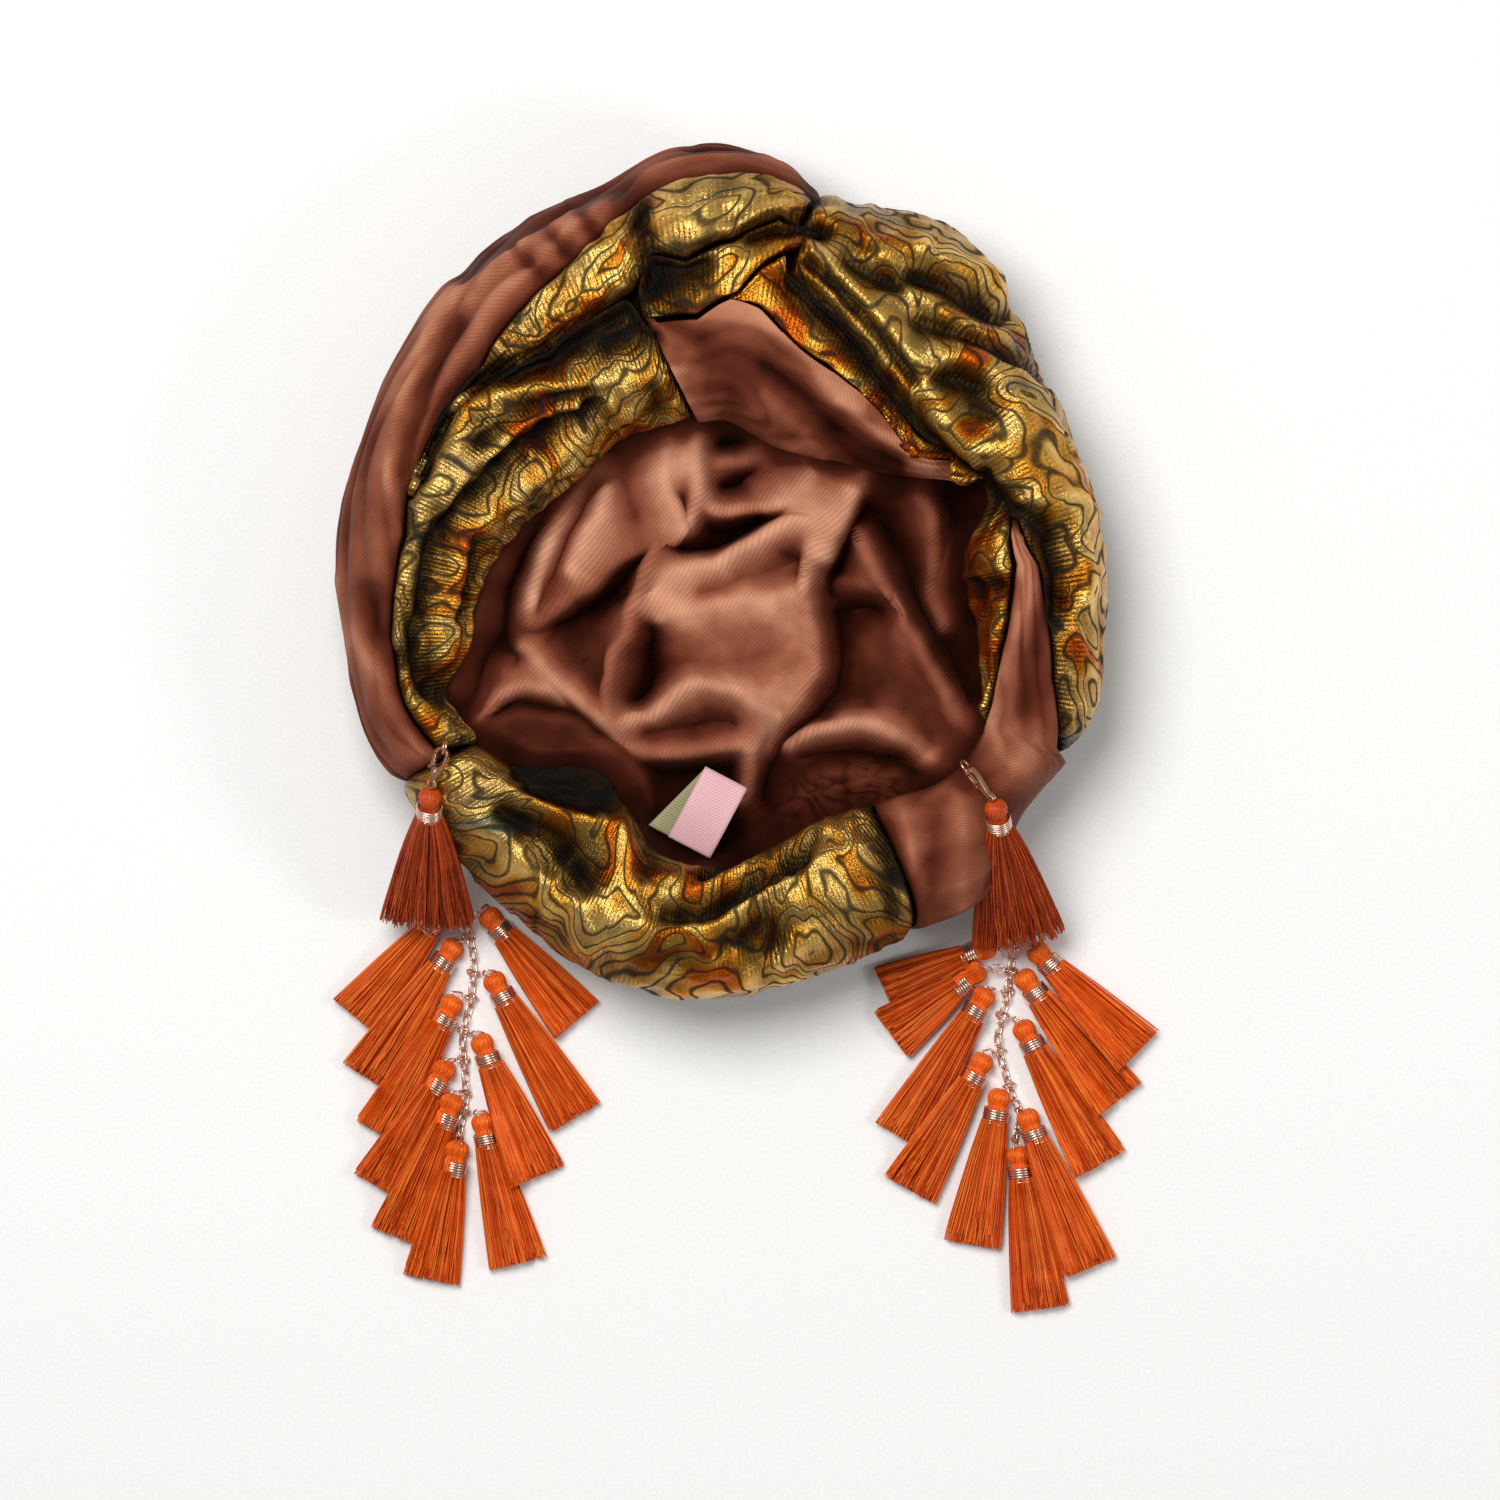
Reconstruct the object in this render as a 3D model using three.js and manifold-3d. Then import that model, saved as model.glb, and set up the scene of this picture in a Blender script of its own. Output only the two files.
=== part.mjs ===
// A soft turban of velvet and brocade with two tassel drops, in millimetres, +Z up.
// It lies on its crown with the head opening up. +Y is the front twist, -Y the back of the head.
// The origin is on the flat crown, straight under the middle of the opening.
import * as THREE from 'three';
import { mergeVertices } from 'three/addons/utils/BufferGeometryUtils.js';
import loadManifold from 'manifold-3d';

const manifold = await loadManifold();
manifold.setup();

// Driving dimensions
const outlineRadius = 121;
const openingRadius = 75;
const rimHeight = 70;
const wideHeight = 32;
const restRadius = 72;
const clothWall = 2.3;
const seatGap = 0.4;
const foldHeight = 8;
const foldWidth = 8;
const tuckShare = 0.22;
const wrapStep = 9.5;
const hemRoll = 2.6;
const outsidePad = 3.4;
const liningFloor = 8;
const liningPeak = 27;
const liningFoldWidth = 18;
const liningSink = 0.6;
const dropLength = 173;
const tasselHeadRadius = 3.7;
const tasselHeadLength = 6.2;
const tasselBandRadius = 4.2;
const tasselBandLength = 5.8;
const tasselSkirtWidth = 19;
const tasselSkirtDepth = 4.6;
const topTasselWidth = 31;
const topTasselDepth = 9;
const linkWire = 0.9;
const linkWidth = 3.8;
const linkLength = 7.4;
const linkMeld = 0.12;
const jumpRingRadius = 2.3;
const jumpRingWire = 0.8;
const claspEyeWidth = 3.4;
const claspEyeLength = 5.8;
const claspWall = 0.9;
const claspLength = 14;
const claspThickness = 1.6;
const claspTip = 1.5;
const hangRise = 1.1;
const labelWidth = 16;
const labelLength = 24;
const labelWall = 0.9;
const labelRise = 3;

const turn = Math.PI / 180;
const hemTurn = 150;
const underTurn = 90;

// Names the numbers of a short table by its columns.
function table(names, rows) {
  return rows.map((row) => Object.fromEntries(names.map((name, index) => [name, row[index]])));
}

// The rim, one row every 15 degrees from +X: outer and hem are shares of the outline and opening
// radius, crest is a share of the rim height.
const rimStep = 15;
const rim = table(['outer', 'hem', 'crest'], [
  [0.98, 1.11, 0.86], [1.00, 1.08, 0.88], [1.03, 1.28, 0.91], [1.11, 0.99, 0.95],
  [1.21, 0.90, 0.98], [1.18, 0.87, 1.00], [1.28, 0.94, 1.00], [1.21, 0.93, 0.99],
  [1.18, 0.93, 0.97], [1.11, 0.90, 0.95], [1.05, 0.96, 0.92], [1.01, 1.03, 0.88],
  [0.95, 1.08, 0.83], [0.93, 1.18, 0.76], [0.88, 1.05, 0.73], [0.88, 0.76, 0.76],
  [0.89, 0.80, 0.79], [0.92, 0.95, 0.80], [0.92, 0.96, 0.80], [0.89, 0.91, 0.79],
  [0.90, 0.88, 0.78], [0.95, 0.96, 0.76], [0.90, 1.14, 0.75], [0.96, 1.16, 0.80],
]);

// Smooth value of one rim column at an angle.
function rimShare(at, column) {
  const place = (((at % 360) + 360) % 360) / rimStep;
  const index = Math.floor(place);
  const part = place - index;
  const value = (step) => rim[(index + step + rim.length) % rim.length][column];
  const slope = value(1) - value(-1);
  const bend = 2 * value(-1) - 5 * value(0) + 4 * value(1) - value(2);
  const twist = 3 * (value(0) - value(1)) + value(2) - value(-1);
  return value(0) + 0.5 * part * (slope + part * (bend + part * twist));
}

// The ring's section at an angle: an oval from the hem over the crest to the widest place, and a
// quarter oval from there in under the turban to the flat crown.
function rimSection(at) {
  const hem = rimShare(at, 'hem') * openingRadius + hemRoll;
  const outer = rimShare(at, 'outer') * outlineRadius - outsidePad;
  const halfWidth = (outer - hem) / (1 - Math.cos(hemTurn * turn));
  const halfHeight = rimShare(at, 'crest') * rimHeight - wideHeight - clothWall - foldHeight / 2;
  return { hem, outer, halfWidth, halfHeight, middle: outer - halfWidth };
}

// Where a share of the seen width lies along the section: 0 hem, 1 widest place, 2 flat crown.
function along(share) {
  if (share > 1) return share;
  const cosine = Math.cos(hemTurn * turn) * (1 - share) + share;
  return 1 - Math.acos(THREE.MathUtils.clamp(cosine, -1, 1)) / (hemTurn * turn);
}

// A point on the ring, lifted off its surface.
function ringPoint(at, place, lift) {
  const section = rimSection(at);
  const over = place <= 1;
  const angle = over ? hemTurn * (1 - place) * turn : -underTurn * (place - 1) * turn;
  const width = over ? section.halfWidth : section.outer - restRadius;
  const height = over ? section.halfHeight : wideHeight;
  const start = over ? section.middle : restRadius;
  const normal = new THREE.Vector2(Math.cos(angle) / width, Math.sin(angle) / height).normalize();
  const radius = start + width * Math.cos(angle) + lift * normal.x;
  const z = wideHeight + height * Math.sin(angle) + lift * normal.y;
  return new THREE.Vector3(radius * Math.cos(at * turn), radius * Math.sin(at * turn), z);
}

// Length of the section from the hem to the widest place.
function sectionLength(at) {
  const section = rimSection(at);
  return hemTurn * turn * Math.sqrt((section.halfWidth ** 2 + section.halfHeight ** 2) / 2);
}

// Value of a column between the rows of a table, with level ends.
function between(rows, at, column) {
  const first = rows[0];
  const last = rows[rows.length - 1];
  if (at <= first.at) return first[column];
  if (at >= last.at) return last[column];
  const index = rows.findIndex((row) => row.at > at);
  const low = rows[index - 1];
  const high = rows[index];
  return THREE.MathUtils.lerp(low[column], high[column], (at - low.at) / (high.at - low.at));
}

const edge = (rows) => table(['at', 'share'], rows);
const ridge = (rows) => table(['at', 'share', 'high'], rows);

// Borders between the wraps, by angle and share of the seen width.
const borders = {
  hem: edge([[-360, 0], [720, 0]]),
  under: edge([[-360, 1.5], [720, 1.5]]),
  velvetInner: edge([[75, 0.98], [82, 0.95], [90, 0.89], [100, 0.90], [106, 0.83], [112, 0.76],
    [120, 0.71], [132, 0.68], [143, 0.70], [155, 0.67], [162, 0.60], [170, 0.61], [180, 0.67],
    [189, 0.58], [197, 0.46], [202, 0.42]]),
  rollHem: edge([[74, 0.88], [82, 0.82], [88, 0.66], [95, 0.59], [100, 0.67], [104, 0.55],
    [112, 0.52], [121, 0.48], [130, 0.58], [138, 0.66], [146, 0.65], [156, 0.64]]),
  loopInner: edge([[74, 0.84], [80, 0.71], [83, 0.62], [87, 0.46], [94, 0.37], [101, 0.41],
    [106, 0.46]]),
  flapOuter: edge([[31, 0.08], [37, 0.13], [48, 0.22], [63, 0.30], [74, 0.38], [83, 0.45],
    [88, 0.44], [94, 0.36], [101, 0.40], [104, 0.46]]),
  stripOuter: edge([[-20, 0.06], [-18, 0.08], [-10, 0.12], [-2, 0.20], [8, 0.33], [14, 0.40],
    [21, 0.35], [27, 0.20], [31, 0.12], [39, 0.22], [51, 0.30], [60, 0.37], [71, 0.55],
    [81, 0.67]]),
  bandOuter: edge([[-18, 0.86], [-12, 0.72], [-7, 0.63], [4, 0.58], [13, 0.57], [22, 0.38]]),
};

// One folded cloth: its border, how far its edges are tucked in, and its ridges. The ends are
// angles at the inner and outer edge. High is a share of the fold height.
const wraps = [
  {
    name: 'side_velvet_wrap', cloth: 'velvet', rows: 6, from: [77, 77], to: [201, 203],
    inner: borders.velvetInner, outer: borders.under, puff: 0.25,
    ridges: [
      ridge([[77, 0.99, 1], [86, 0.98, 1], [95, 0.96, 0.6], [125, 0.80, 0.9], [150, 0.78, 0.9],
        [175, 0.86, 0.7], [201, 0.62, 0.2]]),
      ridge([[78, 1.15, 0.5], [105, 1.12, 0.5], [135, 1.02, 0.7], [160, 1.1, 0.6], [198, 0.95, 0.4]]),
    ],
  },
  {
    name: 'front_brocade_wrap', cloth: 'brocade', rows: 4, from: [79, 77.5], to: [155, 155],
    inner: borders.rollHem, outer: borders.velvetInner, puff: 0.3,
    ridges: [
      ridge([[78, 0.93, 0.4], [90, 0.78, 1], [99, 0.80, 0.7], [103, 0.72, 0.5], [110, 0.65, 1.1],
        [121, 0.60, 1.1], [133, 0.65, 0.6], [155, 0.66, 0.3]]),
    ],
  },
  {
    name: 'inner_brocade_wrap', cloth: 'brocade', rows: 9, from: [96.5, 105.5], to: [200, 200],
    inner: borders.hem, outer: borders.rollHem, outerFrom: 156, outerAfter: borders.velvetInner,
    puff: 0.05,
    ridges: [
      ridge([[100, 0.25, 0.9], [114, 0.32, 0.9], [124, 0.40, 0.9], [132, 0.52, 0.6],
        [139, 0.60, 0.7], [147, 0.60, 0.8], [157, 0.56, 0.8], [167, 0.52, 0.8], [180, 0.55, 0.8],
        [189, 0.47, 0.8], [200, 0.33, 0.5]]),
      ridge([[105, 0.20, 0.7], [116, 0.22, 0.8], [134, 0.36, 0.9], [145, 0.40, 0.9],
        [154, 0.42, 0.8], [163, 0.43, 0.4], [172, 0.42, 0]]),
      ridge([[112, 0.10, 0], [124, 0.12, 0.8], [135, 0.16, 1], [148, 0.20, 1], [158, 0.28, 0.8],
        [168, 0.25, 0.7], [180, 0.28, 0.7], [192, 0.14, 0.7], [200, 0.15, 0.5]]),
    ],
  },
  {
    name: 'front_loop', cloth: 'brocade', rows: 4, from: [78.5, 76], to: [103.5, 103],
    inner: borders.loopInner, outer: borders.rollHem, puff: 0.15,
    ridges: [ridge([[77, 0.86, 0.3], [84, 0.68, 0.8], [90, 0.50, 1], [95, 0.45, 0.8],
      [103, 0.47, 0.1]])],
  },
  {
    name: 'right_brocade_wrap', cloth: 'brocade', rows: 9, from: [-17, -18], to: [79, 75.5],
    inner: borders.stripOuter, outer: borders.under, innerTo: 22, innerBefore: borders.bandOuter,
    puff: 0.2,
    ridges: [
      ridge([[31, 0.14, 0.2], [42, 0.33, 0.7], [54, 0.40, 0.9], [67, 0.60, 0.9], [79, 0.73, 0.5]]),
      ridge([[42, 0.98, 0.4], [50, 0.97, 0.9], [57, 0.88, 1], [64, 0.84, 0.9], [74, 0.80, 0.3]]),
      ridge([[34, 0.92, 0.4], [43, 0.82, 0.9], [49, 0.70, 1], [57, 0.60, 0.7], [62, 0.60, 0.2]]),
      ridge([[28, 0.62, 0.5], [35, 0.52, 0.8], [42, 0.52, 0.7], [47, 0.54, 0.3]]),
      ridge([[-16, 1.05, 0.4], [0, 0.95, 0.6], [12, 0.9, 0.8], [24, 0.75, 0.7], [30, 0.6, 0.2]]),
    ],
  },
  {
    name: 'right_inner_brocade', cloth: 'brocade', rows: 4, from: [-18, -19], to: [80.5, 80],
    inner: borders.hem, outer: borders.stripOuter, innerFrom: 31, innerAfter: borders.flapOuter,
    puff: 0.25,
    ridges: [ridge([[-18, 0.04, 0.3], [0, 0.11, 0.6], [14, 0.22, 0.6], [28, 0.09, 0.3],
      [49, 0.26, 0.4], [60, 0.34, 0.6], [78, 0.56, 0.7]])],
  },
  {
    name: 'right_velvet_band', cloth: 'velvet', rows: 6, from: [-46, -60], to: [22, 21],
    inner: borders.stripOuter, outer: borders.under, innerTo: -20, innerBefore: borders.hem,
    outerFrom: -18, outerAfter: borders.bandOuter, puff: 0.25,
    ridges: [ridge([[-50, 0.4, 0.3], [-30, 0.42, 0.5], [-15, 0.38, 0.6], [5, 0.46, 0.5],
      [20, 0.42, 0.3]])],
  },
  {
    name: 'back_brocade_band', cloth: 'brocade', rows: 8, from: [203, 204.5], to: [312.5, 298.5],
    inner: borders.hem, outer: borders.under, puff: 0.1,
    ridges: [
      ridge([[205, 0.35, 0.8], [213, 0.31, 0.9], [226, 0.42, 0.9], [238, 0.30, 0.8],
        [250, 0.1, 0.4]]),
      ridge([[208, 0.8, 0.4], [222, 0.98, 0.9], [238, 0.80, 1], [250, 0.62, 0.9], [262, 0.51, 0.9],
        [272, 0.42, 0.9], [288, 0.41, 0.7], [300, 0.5, 0.4]]),
      ridge([[252, 0.3, 0.3], [262, 0.18, 0.9], [280, 0.07, 1], [296, 0.05, 0.8], [310, 0.04, 0.3]]),
      ridge([[232, 1.2, 0.3], [256, 0.98, 0.8], [275, 0.9, 0.7], [294, 0.85, 0.7]]),
    ],
  },
  {
    name: 'front_velvet_flap', cloth: 'velvet', rows: 5, from: [31.5, 31.5], to: [95.5, 103],
    inner: borders.hem, outer: borders.flapOuter, puff: 0.5, looseEdges: true,
    ridges: [ridge([[34, 0.06, 0.2], [50, 0.12, 0.4], [75, 0.25, 0.6], [100, 0.3, 0.3]])],
  },
];

// Height of a wrap's outer face over the ring: rounded ridges that meet in sharp valleys, and
// edges that tuck down into the valley beside them unless they lie loose.
function wrapHeight(wrap, at, place, across) {
  let fold = wrap.puff;
  for (const rows of wrap.ridges) {
    const high = between(rows, at, 'high');
    const away = (place - along(between(rows, at, 'share'))) * sectionLength(at) / foldWidth;
    fold = Math.max(fold, high * (1 - away * away));
  }
  const nearEdge = Math.min(across, 1 - across) / tuckShare;
  const tuck = wrap.looseEdges ? 1 : Math.sqrt(THREE.MathUtils.clamp(nearEdge, 0, 1));
  return seatGap + clothWall + foldHeight * fold * tuck;
}

// The wrap's border at an angle, which changes from one table to another where it is named.
function wrapEdges(wrap, at) {
  let inner = wrap.inner;
  let outer = wrap.outer;
  if (wrap.innerTo !== undefined && at < wrap.innerTo) inner = wrap.innerBefore;
  if (wrap.innerFrom !== undefined && at > wrap.innerFrom) inner = wrap.innerAfter;
  if (wrap.outerFrom !== undefined && at > wrap.outerFrom) outer = wrap.outerAfter;
  return [along(between(inner, at, 'share')), along(between(outer, at, 'share'))];
}

// Closed solid between two grids of points, rows of equal length.
function closedSheet(top, under) {
  const columns = top.length;
  const rows = top[0].length;
  const points = [...top.flat(), ...under.flat()];
  const faces = [];
  const upper = (i, j) => i * rows + j;
  const lower = (i, j) => columns * rows + i * rows + j;
  const quad = (a, b, c, d) => faces.push(a, b, c, a, c, d);
  for (let i = 0; i + 1 < columns; i += 1) {
    for (let j = 0; j + 1 < rows; j += 1) {
      quad(upper(i, j), upper(i + 1, j), upper(i + 1, j + 1), upper(i, j + 1));
      quad(lower(i, j), lower(i, j + 1), lower(i + 1, j + 1), lower(i + 1, j));
    }
    quad(upper(i, 0), lower(i, 0), lower(i + 1, 0), upper(i + 1, 0));
    quad(upper(i, rows - 1), upper(i + 1, rows - 1), lower(i + 1, rows - 1), lower(i, rows - 1));
  }
  for (let j = 0; j + 1 < rows; j += 1) {
    quad(upper(0, j), upper(0, j + 1), lower(0, j + 1), lower(0, j));
    quad(upper(columns - 1, j), lower(columns - 1, j), lower(columns - 1, j + 1),
      upper(columns - 1, j + 1));
  }
  return outwards(points, faces);
}

// Geometry from points and faces, turned so that its faces point out.
function outwards(points, faces) {
  let volume = 0;
  for (let f = 0; f < faces.length; f += 3) {
    const [a, b, c] = [points[faces[f]], points[faces[f + 1]], points[faces[f + 2]]];
    volume += a.dot(new THREE.Vector3().crossVectors(b, c));
  }
  if (volume < 0) faces.reverse();
  const geometry = new THREE.BufferGeometry();
  geometry.setAttribute('position', new THREE.Float32BufferAttribute(
    points.flatMap((point) => [point.x, point.y, point.z]), 3));
  geometry.setIndex(faces);
  return geometry;
}

function toSolid(source) {
  const bare = source.clone();
  bare.deleteAttribute('normal');
  bare.deleteAttribute('uv');
  const merged = mergeVertices(bare, 1e-4);
  return new manifold.Manifold(new manifold.Mesh({
    numProp: 3,
    vertProperties: new Float32Array(merged.attributes.position.array),
    triVerts: new Uint32Array(merged.index.array),
  }));
}

function toGeometry(solid) {
  const mesh = solid.getMesh();
  const geometry = new THREE.BufferGeometry();
  geometry.setAttribute('position', new THREE.BufferAttribute(mesh.vertProperties, 3));
  geometry.setIndex(new THREE.BufferAttribute(mesh.triVerts, 1));
  return geometry;
}

// The largest body of a solid.
function mainBody(solid) {
  const bodies = solid.decompose();
  return bodies.reduce((best, body) => (body.volume() > best.volume() ? body : best));
}

// Cuts a piece back where it would meet one that lies against it, again after its smallest faces
// are merged.
function clearOf(solid, neighbours) {
  const cut = (piece) => neighbours.reduce((rest, neighbour) => (
    rest.intersect(neighbour).volume() > 1e-5 ? rest.subtract(neighbour) : rest), piece);
  const first = cut(solid);
  return first === solid ? solid : mainBody(cut(mainBody(first).simplify(0.05)));
}

// One wrap as a closed sheet. Grow makes it that much larger all round.
function wrapGeometry(wrap, grow) {
  const columns = Math.ceil((wrap.to[1] - wrap.from[1]) / wrapStep) + 1;
  const top = [];
  const under = [];
  for (let i = 0; i < columns; i += 1) {
    const topRow = [];
    const underRow = [];
    for (let j = 0; j < wrap.rows; j += 1) {
      const across = j / (wrap.rows - 1);
      const start = THREE.MathUtils.lerp(wrap.from[0], wrap.from[1], across);
      const end = THREE.MathUtils.lerp(wrap.to[0], wrap.to[1], across);
      const growTurn = grow / openingRadius / turn;
      const at = THREE.MathUtils.lerp(start - growTurn, end + growTurn, i / (columns - 1));
      const [inner, outer] = wrapEdges(wrap, at);
      const inset = (seatGap / 2 - grow) / sectionLength(at);
      const place = THREE.MathUtils.lerp(inner + inset, Math.max(outer - inset, inner + 2 * inset),
        across);
      const height = wrapHeight(wrap, at, place, across);
      topRow.push(ringPoint(at, place, height + grow));
      underRow.push(ringPoint(at, place, height - clothWall - grow));
    }
    top.push(topRow);
    under.push(underRow);
  }
  return closedSheet(top, under);
}

// The velvet cap under the wraps: flat where it rests, bulging out and rolled over the rim.
function shellGeometry(grow) {
  const places = [0, 0.2, 0.4, 0.6, 0.8, 1, 1.3, 1.6, 2];
  const columns = 22;
  const points = [];
  const faces = [];
  const index = (i, j, side) => 2 * ((i % columns) * places.length + j) + side;
  for (let i = 0; i < columns; i += 1) {
    for (const place of places) {
      const settle = THREE.MathUtils.clamp((2 - place) / 0.5, 0, 1) * seatGap;
      points.push(ringPoint(360 * i / columns, place, grow - settle));
      points.push(ringPoint(360 * i / columns, place, -clothWall - settle - grow));
    }
  }
  const last = places.length - 1;
  const offCentre = new THREE.Vector3(restRadius / 18, -restRadius / 24, 0);
  const under = points.push(offCentre.clone().setZ(-grow)) - 1;
  const over = points.push(offCentre.clone().setZ(clothWall + grow)) - 1;
  for (let i = 0; i < columns; i += 1) {
    for (let j = 0; j < last; j += 1) {
      faces.push(index(i, j, 0), index(i, j + 1, 0), index(i + 1, j + 1, 0));
      faces.push(index(i, j, 0), index(i + 1, j + 1, 0), index(i + 1, j, 0));
      faces.push(index(i, j, 1), index(i + 1, j + 1, 1), index(i, j + 1, 1));
      faces.push(index(i, j, 1), index(i + 1, j, 1), index(i + 1, j + 1, 1));
    }
    faces.push(index(i, last, 0), under, index(i + 1, last, 0));
    faces.push(index(i, last, 1), index(i + 1, last, 1), over);
    faces.push(index(i, 0, 0), index(i + 1, 0, 0), index(i + 1, 0, 1));
    faces.push(index(i, 0, 0), index(i + 1, 0, 1), index(i, 0, 1));
  }
  return outwards(points, faces);
}

// Folds of the lining: x and y as shares of the opening radius, high as a share of its peak.
const fold = (rows) => table(['x', 'y', 'high'], rows);
const liningFolds = [
  fold([[-0.94, 0.41, 0.7], [-1.03, 0.1, 0.7], [-1.13, -0.23, 0.6]]),
  fold([[-0.51, 0.81, 0.8], [-0.70, 0.42, 0.8], [-0.83, 0.08, 0.6]]),
  fold([[-0.16, 0.43, 0.9], [-0.30, 0.17, 1], [-0.34, -0.04, 1], [-0.42, -0.21, 0.9],
    [-0.36, -0.44, 0.8]]),
  fold([[-0.84, -0.02, 0.8], [-0.68, -0.19, 0.8], [-0.51, -0.32, 0.8], [-0.36, -0.44, 0.8]]),
  fold([[-0.36, -0.44, 0.7], [-0.08, -0.24, 0.8], [0.09, -0.26, 0.7], [0.13, -0.47, 0.6],
    [0.1, -0.8, 0.5]]),
  fold([[-0.25, 0.18, 0.7], [0.09, 0.34, 0.8], [0.38, 0.49, 0.8]]),
  fold([[0.62, 0.68, 0.8], [0.44, 0.36, 0.9], [0.46, 0.14, 0.8], [0.44, -0.1, 0.7],
    [0.24, -0.4, 0.5]]),
  fold([[0.0, 0.62, 0.6], [0.22, 0.62, 0.7], [0.35, 0.74, 0.6]]),
  fold([[0.55, 0.51, 0.7], [0.73, 0.17, 0.8], [0.90, -0.09, 0.8], [1.05, -0.38, 0.7]]),
  fold([[0.79, 0.62, 0.6], [0.9, 0.47, 0.7], [0.84, 0.26, 0.4]]),
  fold([[0.26, -0.45, 0.6], [0.64, -0.41, 0.7], [0.98, -0.53, 0.5]]),
  fold([[-1.05, -0.42, 0.5], [-0.68, -0.27, 0.5], [-0.3, -0.5, 0.5], [-0.3, -0.8, 0.4]]),
];

// Height of the lining's upper face: a bowl up to the hem, with rounded folds on its floor.
function liningHeight(x, y) {
  const at = Math.atan2(y, x) / turn;
  const share = Math.hypot(x, y) / rimSection(at).hem;
  const hemZ = ringPoint(at, 0, 0).z;
  const wall = THREE.MathUtils.smoothstep(share, 0.62, 1.02) ** 1.5;
  let high = 0;
  for (const rows of liningFolds) {
    for (let i = 0; i + 1 < rows.length; i += 1) {
      const [a, b] = [rows[i], rows[i + 1]];
      const [ax, ay] = [a.x * openingRadius, a.y * openingRadius];
      const [dx, dy] = [(b.x - a.x) * openingRadius, (b.y - a.y) * openingRadius];
      const part = THREE.MathUtils.clamp(((x - ax) * dx + (y - ay) * dy) / (dx * dx + dy * dy), 0, 1);
      const away = Math.hypot(x - ax - part * dx, y - ay - part * dy) / liningFoldWidth;
      const top = THREE.MathUtils.lerp(a.high, b.high, part);
      high = Math.max(high, top * Math.max(0, 1 - away));
    }
  }
  const floor = liningFloor + liningPeak * high * (1 - 0.6 * wall);
  return THREE.MathUtils.lerp(floor, Math.max(floor, hemZ - liningSink), wall);
}

function liningGeometry() {
  const columns = 28;
  const shares = [0.2, 0.38, 0.54, 0.68, 0.80, 0.91, 1];
  const points = [];
  const faces = [];
  const index = (i, j, side) => 2 * ((i % columns) * shares.length + j) + side;
  for (let i = 0; i < columns; i += 1) {
    const at = 360 * i / columns;
    for (const share of shares) {
      const radius = share * (rimSection(at).hem - seatGap);
      const [x, y] = [radius * Math.cos(at * turn), radius * Math.sin(at * turn)];
      const z = liningHeight(x, y);
      points.push(new THREE.Vector3(x, y, z), new THREE.Vector3(x, y, z - clothWall));
    }
  }
  const middle = liningHeight(0, 0);
  const over = points.push(new THREE.Vector3(0, 0, middle)) - 1;
  const under = points.push(new THREE.Vector3(0, 0, middle - clothWall)) - 1;
  const last = shares.length - 1;
  for (let i = 0; i < columns; i += 1) {
    for (let j = 0; j < last; j += 1) {
      faces.push(index(i, j, 0), index(i, j + 1, 0), index(i + 1, j + 1, 0));
      faces.push(index(i, j, 0), index(i + 1, j + 1, 0), index(i + 1, j, 0));
      faces.push(index(i, j, 1), index(i + 1, j + 1, 1), index(i, j + 1, 1));
      faces.push(index(i, j, 1), index(i + 1, j, 1), index(i + 1, j + 1, 1));
    }
    faces.push(index(i, 0, 0), index(i + 1, 0, 0), over);
    faces.push(index(i, 0, 1), under, index(i + 1, 0, 1));
    faces.push(index(i, last, 0), index(i, last, 1), index(i + 1, last, 1));
    faces.push(index(i, last, 0), index(i + 1, last, 1), index(i + 1, last, 0));
  }
  return outwards(points, faces);
}

// Closed body from rings of points, with a pole at each end.
function lofted(rings, firstPole, lastPole) {
  const count = rings[0].length;
  const points = [...rings.flat(), firstPole, lastPole];
  const faces = [];
  for (let i = 0; i < count; i += 1) {
    const next = (i + 1) % count;
    for (let k = 0; k + 1 < rings.length; k += 1) {
      const [low, high] = [k * count, (k + 1) * count];
      faces.push(low + i, low + next, high + next, low + i, high + next, high + i);
    }
    faces.push(points.length - 2, next, i);
    const lastRing = (rings.length - 1) * count;
    faces.push(points.length - 1, lastRing + i, lastRing + next);
  }
  return outwards(points, faces);
}

// Closed ring of wire along an oval path, straight on its two sides.
function wireOval(length, width, wire, sides) {
  const radius = width / 2 - wire / 2;
  const straight = length / 2 - width / 2;
  const path = [];
  for (let i = 0; i < sides; i += 1) {
    const angle = 2 * Math.PI * (i + 0.5) / sides;
    const side = Math.sign(Math.cos(angle));
    path.push(new THREE.Vector3(radius * Math.cos(angle) + side * straight,
      radius * Math.sin(angle), 0));
  }
  const round = 5;
  const points = [];
  const faces = [];
  path.forEach((place, i) => {
    const before = path[(i + sides - 1) % sides];
    const after = path[(i + 1) % sides];
    const ahead = after.clone().sub(before).normalize();
    const out = new THREE.Vector3(ahead.y, -ahead.x, 0);
    for (let k = 0; k < round; k += 1) {
      const angle = 2 * Math.PI * k / round;
      const point = place.clone().addScaledVector(out, wire / 2 * Math.cos(angle));
      point.z += wire / 2 * Math.sin(angle);
      points.push(point);
      const next = ((i + 1) % sides) * round;
      const beside = (k + 1) % round;
      faces.push(i * round + k, next + k, next + beside);
      faces.push(i * round + k, next + beside, i * round + beside);
    }
  });
  return outwards(points, faces);
}

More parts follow.
